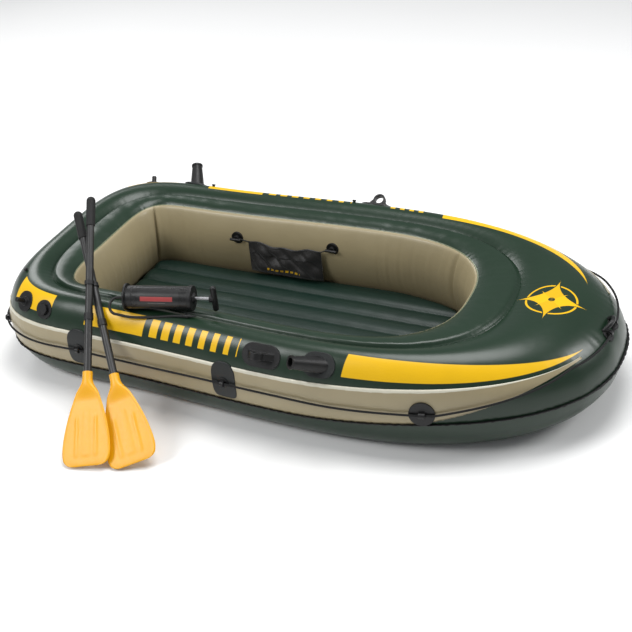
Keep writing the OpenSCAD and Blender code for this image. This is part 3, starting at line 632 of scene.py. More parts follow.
def film(name, base, wander=0.14, roughness=0.3, coat=0.15):
    """Plain soft film of one colour that wanders slowly."""
    f = Finish(name, Specular_IOR_Level=0.38, Coat_Weight=coat * 0.4, Coat_Roughness=0.3)
    tone = f.shade(base, wander, f.noise(5.5, 3.0))
    return f.finish(tone, f.noise(60.0, 2.0) * 0.1 + roughness - 0.05, film_relief(f), 0.005, 0.25)


def deck_film():
    """Green film whose inner edge carries the pale line of the cockpit weld."""
    c = colours()
    f = Finish("green film deck", Specular_IOR_Level=0.42, Coat_Weight=0.05, Coat_Roughness=0.3)
    _, girth = f.along()
    line = girth.between(0.968, 0.994, 0.006)
    base = f.shade(c.green, 0.16, f.noise(5.0, 3.0))
    base = f.blend(line * 0.5, base, (0.30, 0.33, 0.2))
    return f.finish(base, f.noise(60.0, 2.0) * 0.08 + 0.28, film_relief(f), 0.005, 0.25)


def band_film():
    """Beige film with a painted highlight along its welded edge above and painted shade along its
    edge below.
    """
    c = colours()
    f = Finish("beige film band", Specular_IOR_Level=0.5, Coat_Weight=0.15, Coat_Roughness=0.25)
    _, across = f.along()
    wobble = f.noise(30.0, 2.0) * 0.03
    # Mask for the painted highlight along the panel's top edge, on the weld.
    top = (across + wobble).between(0.925, 1.02, 0.02)
    # Mask for the painted shade along the panel's bottom edge, just above the flange.
    low = (across + wobble).below(0.06, 0.03)
    base = f.shade(c.beige, 0.12, f.noise(5.5, 3.0))
    # Painted highlight: the pale weld colour along the top edge stands in for the sheen on the weld
    # ridge.
    base = f.blend(top * 0.85, base, c.weld)
    # Painted shade: the bottom edge is darkened to 0.3 of the beige.
    base = f.blend(low * 0.55, base, [v * 0.3 for v in c.beige])
    return f.finish(base, f.noise(60.0, 2.0) * 0.1 + 0.3, film_relief(f), 0.005, 0.25)


def wall_film():
    """Beige film darkened a little towards the floor by painted shade, low in the cockpit."""
    c = colours()
    f = Finish("beige film wall", Specular_IOR_Level=0.5, Coat_Weight=0.1, Coat_Roughness=0.3)
    _, _, z = f.split(f.place())
    # Painted shade: the lower wall is darkened towards the floor, where the cockpit is deepest.
    low = z.below(0.16, 0.16)
    base = f.shade(c.beige, 0.1, f.noise(4.5, 3.0))
    base = f.blend(low * 0.45, base, [v * 0.5 for v in c.beige])
    crease = f.noise(11.0, 2.0, (1, 1, 0.3)) * 0.5
    return f.finish(base, f.noise(60.0, 2.0) * 0.1 + 0.33, film_relief(f) + crease, 0.006, 0.4)


def moulded(name, base, roughness=0.45, grain=0.5):
    """Moulded vinyl or plastic: a pebbled grain, faint scuffs and a slow change of tone."""
    f = Finish(name, Specular_IOR_Level=0.36)
    pebble = f.noise(900.0, 2.0)
    scuff = f.noise(35.0, 5.0, (1, 1, 1), 0.7).above(0.62, 0.2)
    plain = f.shade(base, 0.2, f.noise(22.0, 3.0))
    tone = f.blend(scuff * 0.35, plain, [v * 1.8 + 0.004 for v in base])
    return f.finish(tone, f.noise(70.0, 3.0) * 0.2 + roughness - 0.1, pebble, 0.0006, grain)


def braided():
    """Cord of crossing strands: two sets of slanted waves along and round it, with painted shade
    darkening the hollows between the strands.
    """
    f = Finish("braided cord", roughness=0.75, Specular_IOR_Level=0.3)
    run, round_ = f.along()
    one = (run * 900.0 + round_ * 6.2832 * 2).wave()
    two = (run * 900.0 - round_ * 6.2832 * 2).wave()
    weave = one * two * 0.5 + 0.5
    # Painted shade: the colour follows the weave's bump, darker in the hollows between the strands.
    tone = f.blend(weave, (0.003, 0.003, 0.003), (0.014, 0.014, 0.014))
    return f.finish(tone, None, weave, 0.001, 0.8)


def coated_cloth():
    """Coated cloth: a fine square weave, creases, two rows of stitches and a row of plain bars."""
    c = colours()
    f = Finish("pouch cloth", Specular_IOR_Level=0.45, Sheen_Weight=0.15)
    x, _, z = f.split(f.place())
    weave = (x * 3600.0).wave() * (z * 3600.0).wave()
    low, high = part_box("pouch")
    down = (z - low.z) / (high.z - low.z)
    beat = (x * 110.0).part()
    hems = down.between(0.055, 0.063, 0.004).either(down.between(0.93, 0.938, 0.004))
    stitch = hems * beat.below(0.6, 0.05)
    row = down.between(0.17, 0.235, 0.006) * x.between(low.x + 0.085, high.x - 0.095)
    bars = row * ((x - z * 0.2) * 46.0).part().below(0.62, 0.04)
    tone = f.shade(c.cloth, 0.25, f.noise(16.0, 4.0))
    tone = f.blend(stitch * 0.5, tone, (0.09, 0.09, 0.085))
    tone = f.blend(bars, tone, [v * 0.7 for v in c.yellow])
    height = weave * 0.06 + f.noise(14.0, 3.0) * 0.9 - stitch * 0.4
    return f.finish(tone, f.noise(40.0, 3.0) * 0.16 + 0.36, height, 0.003, 0.5)


def blade_plastic():
    """Moulded blade plastic with slow flow marks across it and a fine grain."""
    c = colours()
    f = Finish("blade plastic", Specular_IOR_Level=0.5, Subsurface_Weight=0.05)
    flow = f.noise(9.0, 3.0, (1, 1, 0.4))
    tone = f.shade(c.blade, 0.07, flow)
    return f.finish(tone, f.noise(80.0, 3.0) * 0.12 + 0.34, f.noise(500.0, 2.0), 0.0005, 0.35)


def tube_plastic():
    """Drawn plastic tube with fine scratches along it and a dull bloom."""
    f = Finish("shaft plastic", Specular_IOR_Level=0.5)
    tone = f.shade((0.008, 0.008, 0.008), 0.3, f.noise(12.0, 4.0))
    scratch = f.noise(160.0, 4.0, (1, 1, 0.2))
    return f.finish(tone, f.noise(50.0, 3.0) * 0.18 + 0.34, scratch, 0.0006, 0.35)


def grip_rubber(axis):
    """Soft grip: close rings along the oar and a matt skin."""
    f = Finish("grip rubber", Specular_IOR_Level=0.35)
    rings = (f.reach(axis) * 1500.0).wave() * 0.5 + 0.5
    tone = f.shade((0.006, 0.006, 0.006), 0.2, f.noise(30.0, 3.0))
    return f.finish(tone, f.noise(70.0, 3.0) * 0.1 + 0.55, rings, 0.0008, 0.6)


def label_film(axis):
    """A dark label with one plain red bar and a thin pale rule."""
    c = colours()
    run = node_points("pump_label") @ axis
    f = Finish("label film", Specular_IOR_Level=0.5)
    _, _, z = f.split(f.place())
    x = f.reach(axis)
    tone = f.shade(c.black, 0.2, f.noise(40.0, 3.0))
    bar = x.between(run.min() + 0.012, run.max() - 0.022) * z.between(0.4265, 0.4415, 0.0006)
    rule = x.between(run.min() + 0.04, run.max() - 0.05) * z.between(0.419, 0.4205, 0.0004)
    tone = f.blend(bar, tone, f.shade([v * 1.6 + 0.03 for v in c.red], 0.15, f.noise(60.0, 3.0)))
    tone = f.blend(rule * 0.5, tone, (0.3, 0.28, 0.26))
    return f.finish(tone, f.noise(90.0, 2.0) * 0.1 + 0.3, f.noise(200.0, 2.0), 0.0003, 0.3)


def drawn_steel():
    """Bare steel drawn along its length, with fine lines."""
    f = Finish("drawn steel", Metallic=1.0)
    tone = f.shade((0.52, 0.52, 0.53), 0.08, f.noise(60.0, 3.0))
    line = f.noise(900.0, 2.0, (0.03, 1, 1))
    return f.finish(tone, line * 0.2 + 0.2, line, 0.0002, 0.3)


def hose_rubber():
    """Ribbed hose: one ring every few millimetres along it, with painted shade darkening the
    grooves between the rings.
    """
    f = Finish("hose rubber", Specular_IOR_Level=0.45)
    run, _ = f.along()
    rings = (run * 2100.0).wave() * 0.5 + 0.5
    # Painted shade: the colour follows the ribs' bump, darker in the grooves between them.
    tone = f.blend(rings, (0.005, 0.005, 0.005), (0.02, 0.02, 0.02))
    return f.finish(tone, f.noise(60.0, 2.0) * 0.15 + 0.35, rings, 0.0012, 0.8)


def pale_floor():
    """A plain matt floor."""
    f = Finish("studio floor", Specular_IOR_Level=0.2)
    tone = f.shade((0.86, 0.86, 0.855), 0.01, f.noise(2.0, 2.0))
    return f.finish(tone, f.noise(6.0, 2.0) * 0.05 + 0.8)


# ---------------------------------------------------------------------------------------------
# Hull
# ---------------------------------------------------------------------------------------------

PANEL_START = 2
PANEL_TAPER = 6.5
# Each crease's station, width in stations and depth.
CREASES = (
    (6.3, 0.2, 0.012), (5.5, 0.25, 0.002),
    (24.5, 0.1, 0.022), (23.9, 0.2, 0.002), (25.2, 0.2, 0.002),
)


def build_outer_chamber():
    """Sweeps the full ellipse round the plan: a(k) = 2 pi k / n. The skin puckers by a ripple that
    fades as e^(-distance/15 mm) from the panel's edge and e^(-distance/12 mm) from the groove."""
    h = hull_sizes()
    j, run = even_stations(h.skin_rings)
    whole = run[-1] + run[1]
    a = np.linspace(0, 2 * PI, 77)[:-1]
    J, A = np.meshgrid(j, a, indexing="ij")
    points = girth_point(J, A)
    normals = grid_normals(points, True, True)
    z = points[..., 2]
    fine = ripple(run, whole, 0.026, 4)[:, None]
    broad = ripple(run, whole, 0.16, 5)[:, None]
    outside = A < PI
    weld = np.where(outside, np.exp(-np.abs(z - band_height(J)) / 0.015), 0)
    groove = np.where(outside, 0, np.exp(-np.abs(z - (h.tube_height - h.groove_drop)) / 0.012))
    clear = smooth((z - 0.02) / 0.05)
    out = h.pucker * (fine * (weld + 0.8 * groove)) + 0.0009 * broad * np.sin(A) ** 2 * clear
    out = np.minimum(out, 0.001)
    points = points + sign_out(points, normals) * out[..., None]
    finish = printed_skin()
    mesh = loop_mesh("outer_skin", points, True, (np.append(run, whole), np.linspace(0, 2, 77)))
    return add_piece("outer_skin", mesh, "hull", finish, ("outer_chamber",))


def sign_out(points, normals):
    """Turns the normals of a closed ring outward, away from each section's own middle."""
    middle = points.mean(1, keepdims=True)
    facing = np.sign(((points - middle) * normals).sum((1, 2)))
    return normals * facing[:, None, None]


def panel_low(j):
    """The panel's lower edge rises from the flange to its upper edge as the panel starts."""
    t = smooth((from_bow(j) - PANEL_START) / PANEL_TAPER)
    return mix(band_height(j) - 0.006, flange_height(j) + 0.001, t)


def build_side_band():
    """Lays a strip on the skin from one side of the bow round the stern to the other. Its height is
    the panel's width; a bead of 0.9 mm runs along its upper weld and folds fade in from both."""
    j, run = even_stations(720, PANEL_START, STATIONS - PANEL_START, False)
    t = np.linspace(0, 1, 17)
    J, T = np.meshgrid(j, t, indexing="ij")
    z = mix(panel_low(J), band_height(J), T)
    whole = run[-1]
    height = band_height(J) - panel_low(J)
    fold = ripple(run, whole, 0.021, 8)[:, None] * np.exp(-T * height / 0.014)
    fold = fold + ripple(run, whole, 0.03, 9)[:, None] * np.exp(-(1 - T) * height / 0.014)
    wide = smooth(height / 0.06)
    off = 0.0020 + 0.0013 * bell(T - 0.965, 0.028) + 0.0014 * fold * wide
    off = off + 0.0011 * ripple(run, whole, 0.13, 10)[:, None] * np.sin(PI * T) * wide
    front = off_skin(J, z, np.maximum(off, 0.0006))
    back = off_skin(J, z, np.full_like(z, -0.0008))[:, ::-1]
    rings = np.concatenate([front, back], 1)
    across = np.concatenate([t, t[::-1], t[:1]])
    mesh = loop_mesh("side_band", rings, False, (np.append(run, whole), across))
    return add_piece("side_band", mesh, "hull", band_film(), ("side_panel",))


def creased(j, z):
    """How far the cockpit wall is drawn in where it turns: narrow upright bells round each corner,
    deepest half way up, with smaller ones leaning beside them."""
    h = hull_sizes()
    top = h.tube_height - h.rim_drop
    t = np.clip((top - z) / (top - h.joint_height), 0, 1)
    k = from_bow(j)
    depth = np.zeros_like(k)
    for number, (at, width, deep) in enumerate(CREASES):
        lean = (t - 0.5) * (0.5 if number % 3 else 0.12)
        depth = depth + deep * bell(k - at - lean, width) * np.sin(PI * t) ** 0.6
    return depth


def wall_skin(j, z, off=0.0):
    """The cockpit wall with its corner creases and the small folds under the rim."""
    h = hull_sizes()
    top = h.tube_height - h.rim_drop
    under = np.exp(-(top - z) / 0.03) * np.sin(np.clip((top - z) / 0.01, 0, 1) * PI / 2)
    low = np.exp(-(z - h.joint_height) / 0.05)
    fine = np.cos(j * 21.0) * 0.5 + np.cos(j * 34.0 + 1.0) * 0.5
    broad = np.cos(j * 5.0) * 0.6 + np.cos(j * 9.0 + 2.0) * 0.4
    swell = 0.0006 * fine * (under + 0.7 * low) + 0.001 * broad * np.sin(
        PI * np.clip((top - z) / (top - h.joint_height), 0, 1)
    )
    inner = off + swell - creased(j, z)
    return wall_point(j, z, np.minimum(inner, off + 0.003))


def build_inner_chamber():
    """Sweeps one closed section: up the joint with the outer chamber, over the deck where
    z = crown - 24 mm t^3.5 - 16 mm e^-(t/0.1)^2, down the bulging wall and back below. The beige
    panel is the same wall 2 mm further in."""
    h = hull_sizes()
    j, run = even_stations(900)
    whole = run[-1] + run[1]
    groove, rim = h.tube_height - h.groove_drop, h.tube_height - h.rim_drop
    deck = np.linspace(0, 1, 30)
    J = j[:, None]
    start = outer_point(j, np.full_like(j, groove), True)
    end = wall_point(j, np.full_like(j, rim))
    crown = h.tube_height - 0.014 - 0.024 * deck**3.5 - 0.016 * bell(deck, 0.1)
    fold = ripple(run, whole, 0.024, 14)[:, None] * np.exp(-deck / 0.09)
    fold = fold + ripple(run, whole, 0.028, 15)[:, None] * np.exp(-(1 - deck) / 0.12)
    broad = ripple(run, whole, 0.15, 16)[:, None] * np.sin(PI * deck)
    top = mix(start[:, None], end[:, None], deck[None, :, None])
    top[..., 2] = crown + np.minimum(0.0006 * fold + 0.0008 * broad, 0.0025)
    heights = mix(rim, h.joint_height, np.linspace(0, 1, 25))[1:]
    wall = wall_skin(J + 0 * heights, heights + 0 * J)
    rise = mix(h.joint_height, groove, np.linspace(0, 1, 8))[:-1]
    joint = outer_point(J + 0 * rise, rise + 0 * J, True)
    rings = np.concatenate([top, wall, joint], 1)
    across = np.concatenate([deck, 1 + np.linspace(0, 1, 25)[1:], np.linspace(2.1, 3, 8)])
    mesh = loop_mesh("inner_skin", rings, True, (np.append(run, whole), across))
    add_piece("inner_skin", mesh, "hull", deck_film(), ("inner_chamber",))

    heights = mix(rim, h.joint_height, np.linspace(0, 1, 33))
    edge = np.minimum(1, np.minimum(rim - heights, heights - h.joint_height) / 0.004)
    front = wall_skin(J + 0 * heights, heights + 0 * J, 0.0006 + 0.0014 * edge)
    back = wall_skin(J + 0 * heights, heights + 0 * J, -0.0006)[:, ::-1]
    mesh = loop_mesh("wall_skin", np.concatenate([front, back], 1), True)
    add_piece("wall_skin", mesh, "hull", wall_film(), ("inner_wall_panel",))


def build_weld_flange():
    """A flat strip standing out from the skin. Its width is scalloped by |sin|^0.6 of the run, one
    scallop in 30 mm, and its edge waves up and down by about a millimetre."""
    h = hull_sizes()
    j, run = even_stations(1400)
    whole = run[-1] + run[1]
    z = flange_height(j)
    p, _, _, n = skin_frame(j, z)
    level = unit(n * np.array([1, 1, 0]))
    waves = round(whole / 0.03)
    bite = np.abs(np.sin(PI * waves * run / whole)) ** 0.6
    width = h.flange_width * (0.72 + 0.25 * bite) + 0.0006 * ripple(run, whole, 0.05, 21)
    wave = 0.0013 * ripple(run, whole, 0.022, 22)
    thick = 0.0011
    under = [(share, -1) for share in (-0.1, 0.35, 0.7, 0.95)]
    over = [(share, 1) for share in (0.95, 0.7, 0.35, -0.1)]
    rings = []
    for share, side in (*under, (1.0, 0), *over):
        at = p + level * (width * share)[:, None]
        at[:, 2] = z + wave * max(share, 0) + side * thick
        rings.append(at)
    mesh = loop_mesh("flange_strip", np.stack(rings, 1), True)
    finish = moulded("weld vinyl", colours().black, 0.45)
    return add_piece("flange_strip", mesh, "hull", finish, ("weld_flange",))


def build_floor():
    """A height field over x and y: z = top - 13 mm |2q|^3, where q is the distance from a tube's
    middle over the pitch, times sqrt(1 - (1 - d)^2) near the edge. The valleys are half as deep
    beside the walls, and slow swells cross the tubes."""
    h = hull_sizes()
    stations = np.linspace(0, HALF_STEPS, 1200)
    edge = wall_point(stations, np.full_like(stations, 0.066), -0.004)
    order = np.argsort(edge[:, 0])
    front, back = edge[:, 0].max(), edge[:, 0].min()
    turn = np.linspace(0, PI, 420)
    x = (front + back) / 2 + (front - back) / 2 * np.cos(turn)
    x[0], x[-1] = x[0] - 0.0002, x[-1] + 0.0002
    half = np.interp(x, edge[order, 0], np.maximum(edge[order, 1], 0.0))
    half = np.maximum(half, 0.004)
    v = np.sin(np.linspace(-PI / 2, PI / 2, 181))
    X, Y = np.broadcast_to(x[:, None], (420, 181)), half[:, None] * v
    q = np.mod(Y / h.floor_pitch + 0.5, 1.0) - 0.5
    soft = 0.5 + 0.5 * smooth((0.30 - np.abs(Y)) / 0.08)
    valley = 0.013 * np.abs(2 * q) ** 3.0 * soft
    inside = np.minimum(half[:, None] - np.abs(Y), np.minimum(front - X, X - back) * 0.8)
    d = np.clip(inside / 0.045, 0, 1)
    folds = 0.0003 * np.cos(X * 61 + np.sin(Y * 23) * 2.4) * np.cos(Y * 31 + 1.3)
    folds = folds + 0.0008 * np.cos(X * 13 - Y * 9)
    top = (h.floor_height - 0.002 - valley + folds) * np.sqrt(1 - (1 - d) ** 2)
    top = np.maximum(top, 0.006)
    under = v[::-4]
    shape = (420, len(under))
    flat = [np.broadcast_to(x[:, None], shape), half[:, None] * under, np.full(shape, 0.0035)]
    low = np.stack(flat, -1)
    rings = np.concatenate([np.stack([X, Y, top], -1), low], 1)
    mesh = loop_mesh("floor_pad", rings, False)
    finish = film("floor film", colours().floor, 0.22, 0.42, 0.05)
    piece = add_piece("floor_pad", mesh, "hull", finish, ("floor_mat",))
    dress("bottom_sheet", film("bottom film", colours().floor, 0.2, 0.4, 0.05))
    return piece


# ---------------------------------------------------------------------------------------------
# Rope and fittings
# ---------------------------------------------------------------------------------------------

DISC_STATION = BOW_STEPS * 46 / 90
STERN_EYES = tuple(BOW_STEPS + SIDE_STEPS + STERN_STEPS * turn / 90 for turn in (48, 78))
PATCH_X = (-0.09, -0.716)
PATCH_HALF = 0.048
PATCH_MARGIN = 0.012
PATCH_OFF = 0.0046
PATCH_POWER = 5.0


def rope_height(j):
    """The rope's level: the side height, climbing to the bow's height past the large discs."""
    t = np.clip((DISC_STATION - 0.4 - from_bow(j)) / 4.6, 0, 1)
    return mix(hull_sizes().rope_side, hull_sizes().rope_bow, t)


def build_grab_rope():
    """A closed tube along the skin, held off it. Between two eyes it hangs by sag times
    sin(pi t)^2, but not over the bow. Its section is a circle with a three-lobed ripple of 3%."""
    h = hull_sizes()
    eyes = [DISC_STATION, station_at(PATCH_X[0], 1), station_at(PATCH_X[1], 1), *STERN_EYES]
    held = np.array(sorted(eyes + [STATIONS - e for e in eyes]))
    held = np.concatenate([[held[-1] - STATIONS], held, [held[0] + STATIONS]])
    j, _ = even_stations(1600)
    i = np.clip(np.searchsorted(held, j, side="right") - 1, 0, len(held) - 2)
    t = (j - held[i]) / (held[i + 1] - held[i])
    bow = (held[i] < 0) | (held[i + 1] > STATIONS)
    sag = np.where(bow, 0.0, h.rope_sag) * np.sin(PI * t) ** 2
    path = off_skin(j, rope_height(j), np.full_like(j, h.rope_off))
    path[:, 2] -= sag
    ahead, behind = np.roll(path, -1, 0), np.roll(path, 1, 0)
    along = unit(ahead - behind)
    side = unit(np.cross(along, np.array([0, 0, 1.0])))
    top = np.cross(side, along)
    a = np.linspace(0, 2 * PI, 13)[:-1]
    wave = 1 + 0.03 * np.cos(3 * a)[None, :, None]
    ring = np.cos(a)[None, :, None] * top[:, None] + np.sin(a)[None, :, None] * side[:, None]
    rings = path[:, None] + h.rope_radius * wave * ring
    steps = np.linalg.norm(ahead - path, axis=1)
    run = np.concatenate([[0], np.cumsum(steps)])
    mesh = loop_mesh("rope", rings, True, (run, np.linspace(0, 1, 13)))
    return add_piece("rope", mesh, "hull", braided(), ("grab_rope",))


def build_patches():
    """Four welded patches: rings of a rounded square, |x|^5 + |z|^5 = s^5, laid on the skin and
    tapering to it at the rim, then closed below."""
    h = hull_sizes()
    low, high = h.flange_side + PATCH_MARGIN, h.band_side + PATCH_MARGIN
    a = np.linspace(0, 2 * PI, 121)[:-1]
    p = PATCH_POWER
    r = (np.abs(np.cos(a)) ** p + np.abs(np.sin(a)) ** p) ** (-1 / p)
    scale = np.concatenate([np.linspace(0.03, 0.9, 14), np.linspace(0.92, 1.0, 7), [1.0, 0.6, 0.1]])
    rim = PATCH_OFF - 0.0016 * np.linspace(0, 1, 7) ** 3
    off = np.concatenate([np.full(14, PATCH_OFF), rim, [-0.0006] * 3])
    half = (high - low) / 2
    finish = moulded("patch film", colours().charcoal, 0.42, 0.3)
    rows = []
    for side in (1, -1):
        for x in PATCH_X:
            middle = station_at(x, side)
            per = abs(station_at(x + 0.01, side) - station_at(x - 0.01, side)) / 0.02
            across = scale[:, None] * r * np.cos(a) * PATCH_HALF
            tall = scale[:, None] * r * np.sin(a) * (high - low) / 2
            bowed = tall - 0.018 * (across / PATCH_HALF) ** 2 * (tall / half)
            rise = np.where(tall > 0, bowed, tall)
            grid = off_skin(middle + across * per, (low + high) / 2 + rise, off[:, None] + 0 * rise)
            sides = "port" if side > 0 else "starboard"
            name = "patch_%s_%s" % (sides, "mid" if x > -0.4 else "aft")
            rows.append(add_piece(name, loop_mesh(name, grid, False), "hull", finish))
    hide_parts("rope_patches")
    return rows


def softened(node, finish, width=0.0012):
    """A copy of a CAD piece with its edges rounded by a bevel."""
    work = bmesh.new()
    work.from_mesh(NODES[node].data)
    bmesh.ops.remove_doubles(work, verts=work.verts, dist=0.00001)
    nearly_flat = math.radians(0.5)
    bmesh.ops.dissolve_limit(
        work, angle_limit=nearly_flat, verts=work.verts, edges=work.edges
    )
    bmesh.ops.recalc_face_normals(work, faces=work.faces)
    mesh = bpy.data.meshes.new(node + "_moulded")
    work.to_mesh(mesh)
    work.free()
    if "custom_normal" in mesh.attributes:
        mesh.attributes.remove(mesh.attributes["custom_normal"])
    mesh.materials.clear()
    mesh.polygons.foreach_set("use_smooth", np.ones(len(mesh.polygons), bool))
    piece = add_piece(node + "_moulded", mesh, NODES[node]["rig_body"], finish, (node,))
    bevel = piece.modifiers.new("rounded edges", "BEVEL")
    bevel.width = width
    bevel.segments = 3
    bevel.limit_method = "ANGLE"
    bevel.angle_limit = math.radians(32)
    bevel.harden_normals = True
    return piece


def dress(node, finish):
    """Gives a CAD piece a finish and leaves its shape alone."""
    piece = NODES[node]
    if not piece.material_slots:
        piece.data.materials.append(finish)
    for place in piece.material_slots:
        place.link = "OBJECT"
        place.material = finish
    return piece


def build_fittings():
    """Rounds the edges of the moulded fittings: eyes, discs, oarlocks, holders, posts and studs."""
    c = colours()
    black = moulded("moulded vinyl", c.black, 0.4)
    pad = moulded("pad vinyl", c.charcoal, 0.45)
    for node in ("rope_eyes", "rope_discs", "bow_fitting", "bow_handle"):
        softened(node, black, 0.0014)
    for side in ("starboard", "port"):
        for part in ("oarlock_", "rod_holder_", "motor_fitting_"):
            softened(part + side, black, 0.0025)
    softened("rod_holder_pads", pad, 0.0012)
    for node in ("deck_studs", "valve_base", "valve_cap", "wall_discs", "wall_toggles"):
        softened(node, black, 0.0009)
    grey = moulded("valve plastic", (0.16, 0.16, 0.16), 0.35)
    softened("valve_insert", grey, 0.0005)


# ---------------------------------------------------------------------------------------------
# Pouch
# ---------------------------------------------------------------------------------------------


def build_pouch():
    """Lofts the pouch along x. At each x the section is a flat back and a front that hangs out by
    thickness t^0.75, with a flap over its upper third, hems and folds as sums of leaning waves.
    The top edge sags between the cords by 13 mm sin^2."""
    low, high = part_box("pouch")
    u = np.sin(np.linspace(-PI / 2, PI / 2, 150)) * 0.5 + 0.5
    t = np.linspace(0, 1, 70)
    U, T = np.meshgrid(u, t, indexing="ij")
    deep, tall, wide = high.y - low.y, high.z - low.z, high.x - low.x
    sag = 0.013 * np.sin(PI * U) ** 2 * (1 - T) + 0.004 * np.cos(U * 19) * (1 - T) ** 3
    z = high.z - 0.002 - tall * T * 0.985 - sag
    hang = np.clip(T, 0, 1) ** 0.75 * (1 - 0.75 * T**9)
    ends = 1 - np.abs(2 * U - 1) ** 7
    fold = np.cos(21 * U + 5 * T) * 0.5 + np.cos(33 * U - 8 * T + 1.0) * 0.35
    fold = fold + np.cos(9 * U + 11 * T + 2.0) * 0.5
    crease = np.abs(np.cos(13 * U - 6 * T + 0.6)) ** 6 * np.sin(PI * T)
    flap = 0.0035 * smooth((0.36 - T + 0.012 * np.cos(U * 17)) / 0.02)
    hem = 0.0012 * (bell(T - 0.03, 0.02) + bell(T - 0.96, 0.02))
    out = deep * 0.86 * hang * (0.55 + 0.45 * ends) + 0.0045 * fold * np.sin(PI * T) ** 0.6
    out = np.maximum(out + flap + hem - 0.006 * crease, 0.0035)
    out = np.minimum(out, deep + 0.002) * (0.25 + 0.75 * ends)
    x = mix(low.x, high.x, U)
    front = np.stack([x, high.y - out, z], -1)
    back = np.stack([x, np.full_like(x, high.y) - 0.0003, z], -1)[:, ::-5]
    mesh = loop_mesh("pouch_bag", np.concatenate([front, back], 1), False)
    piece = add_piece("pouch_bag", mesh, "hull", coated_cloth(), ("pouch",))
    softened("pouch_cords", moulded("plain cord", (0.012, 0.012, 0.012), 0.7), 0.0003)


# ---------------------------------------------------------------------------------------------
# Oars
# ---------------------------------------------------------------------------------------------

BLADE_LENGTH = 0.33
BLADE_WIDTH = 0.186
BLADE_THICK = 0.006
SHAFT_RADIUS = 0.014
SOCKET_LENGTH = 0.010
SOCKET_WALL = 0.004
RIB_LENGTH = 0.191


def node_points(node):
    """The vertices of a CAD piece as an array."""
    mesh = NODES[node].data
    points = np.zeros(len(mesh.vertices) * 3)
    mesh.vertices.foreach_get("co", points)
    return points.reshape(-1, 3)


def oar_axes(oar):
    """The oar's own axes from its CAD pieces: along the shaft, across the blade and square to
    both. Across is the direction in which the blade's points spread most."""
    blade, shaft = node_points(oar + "_blade"), node_points(oar + "_lower_shaft")
    along = unit(np.array(JOINTS[oar + "_pull_apart"]["axis"], float))
    if (shaft.mean(0) - blade.mean(0)) @ along < 0:
        along = -along
    flat = blade - blade.mean(0)
    flat = flat - np.outer(flat @ along, along)
    across = np.linalg.eigh(flat.T @ flat)[1][:, 2]
    across = unit(across - along * (across @ along))
    square = np.cross(along, across)
    ends = [shaft @ axis for axis in (across, square)]
    middle = [(e.min() + e.max()) / 2 for e in ends]
    tip = (blade @ along).min()
    origin = across * middle[0] + square * middle[1] + along * tip
    return origin, across, square, along


def blade_rings():
    """Sections of one blade in its own axes, as (|x|/w)^p + (|y|/h)^p = 1: flat with p = 3.2 over
    the blade, then turning round, p = 2, in the neck. Three low ribs stand on each face."""
    s = np.concatenate([
        BLADE_LENGTH * (1 - np.cos(np.linspace(0, PI / 2, 60))) ** 1.2 * 0.5,
        np.linspace(BLADE_LENGTH * 0.5, BLADE_LENGTH + SOCKET_LENGTH, 130)[1:],
    ])
    t = np.clip(s / BLADE_LENGTH, 0, 1)
    grow = 0.86 + 0.14 * np.sin(PI / 2 * np.clip(t / 0.16, 0, 1))
    shrink = 1 - 0.84 * np.clip((t - 0.16) / 0.84, 0, 1) ** 1.7
    w = BLADE_WIDTH / 2 * np.where(t < 0.16, grow, shrink)
    round_tip = (1 - (1 - np.clip(s / 0.028, 0, 1)) ** 2.6) ** (1 / 2.6)
    w = w * (0.55 + 0.45 * round_tip)
    neck = smooth((s - (BLADE_LENGTH - 0.10)) / 0.075)
    tube = SHAFT_RADIUS + SOCKET_WALL
    w = mix(np.maximum(w, tube), tube, smooth((s - (BLADE_LENGTH - 0.07)) / 0.07))
    thick = BLADE_THICK / 2 * (0.25 + 0.75 * round_tip)
    h = mix(thick, tube, neck)
    p = mix(3.2, 2.0, neck)[:, None]
    a = np.linspace(0, 2 * PI, 97)[:-1]
    # Points crowd towards the edges because the angle is bent by the flatness of the section.
    cx = np.sign(np.cos(a)) * np.abs(np.cos(a)) ** (2 / p)
    sy = np.sign(np.sin(a)) * np.abs(np.sin(a)) ** (2 / p)
    x, y = cx * w[:, None], sy * h[:, None]
    lift = np.zeros_like(x)
    for place, share in ((-1, 0.86), (0, 1.0), (1, 0.86)):
        rise = smooth((s - 0.026) / 0.02) * smooth((0.026 + RIB_LENGTH * share - s) / 0.03)
        lift = lift + 0.0026 * bell(x - place * BLADE_WIDTH * 0.2, 0.0042) * rise[:, None]
    border = bell(np.abs(x) - (w[:, None] - 0.006), 0.003) * (1 - neck[:, None])
    lift = lift + 0.0012 * border * round_tip[:, None]
    y = y + np.sign(y) * lift * smooth(np.abs(sy) * 3)
    outer = np.stack([x, y, np.broadcast_to(s[:, None], x.shape)], -1)
    ring = np.stack([np.cos(a), np.sin(a), np.zeros_like(a)], -1)
    end = s[-1]
    bore = SHAFT_RADIUS + 0.0001
    inner = [ring * r + np.array([0, 0, z]) for r, z in (
        (tube - 0.001, end), (bore, end), (bore, BLADE_LENGTH + 0.001),
        (SHAFT_RADIUS * 0.4, BLADE_LENGTH - 0.0005),
    )]
    return np.concatenate([outer, np.stack(inner)], 0)


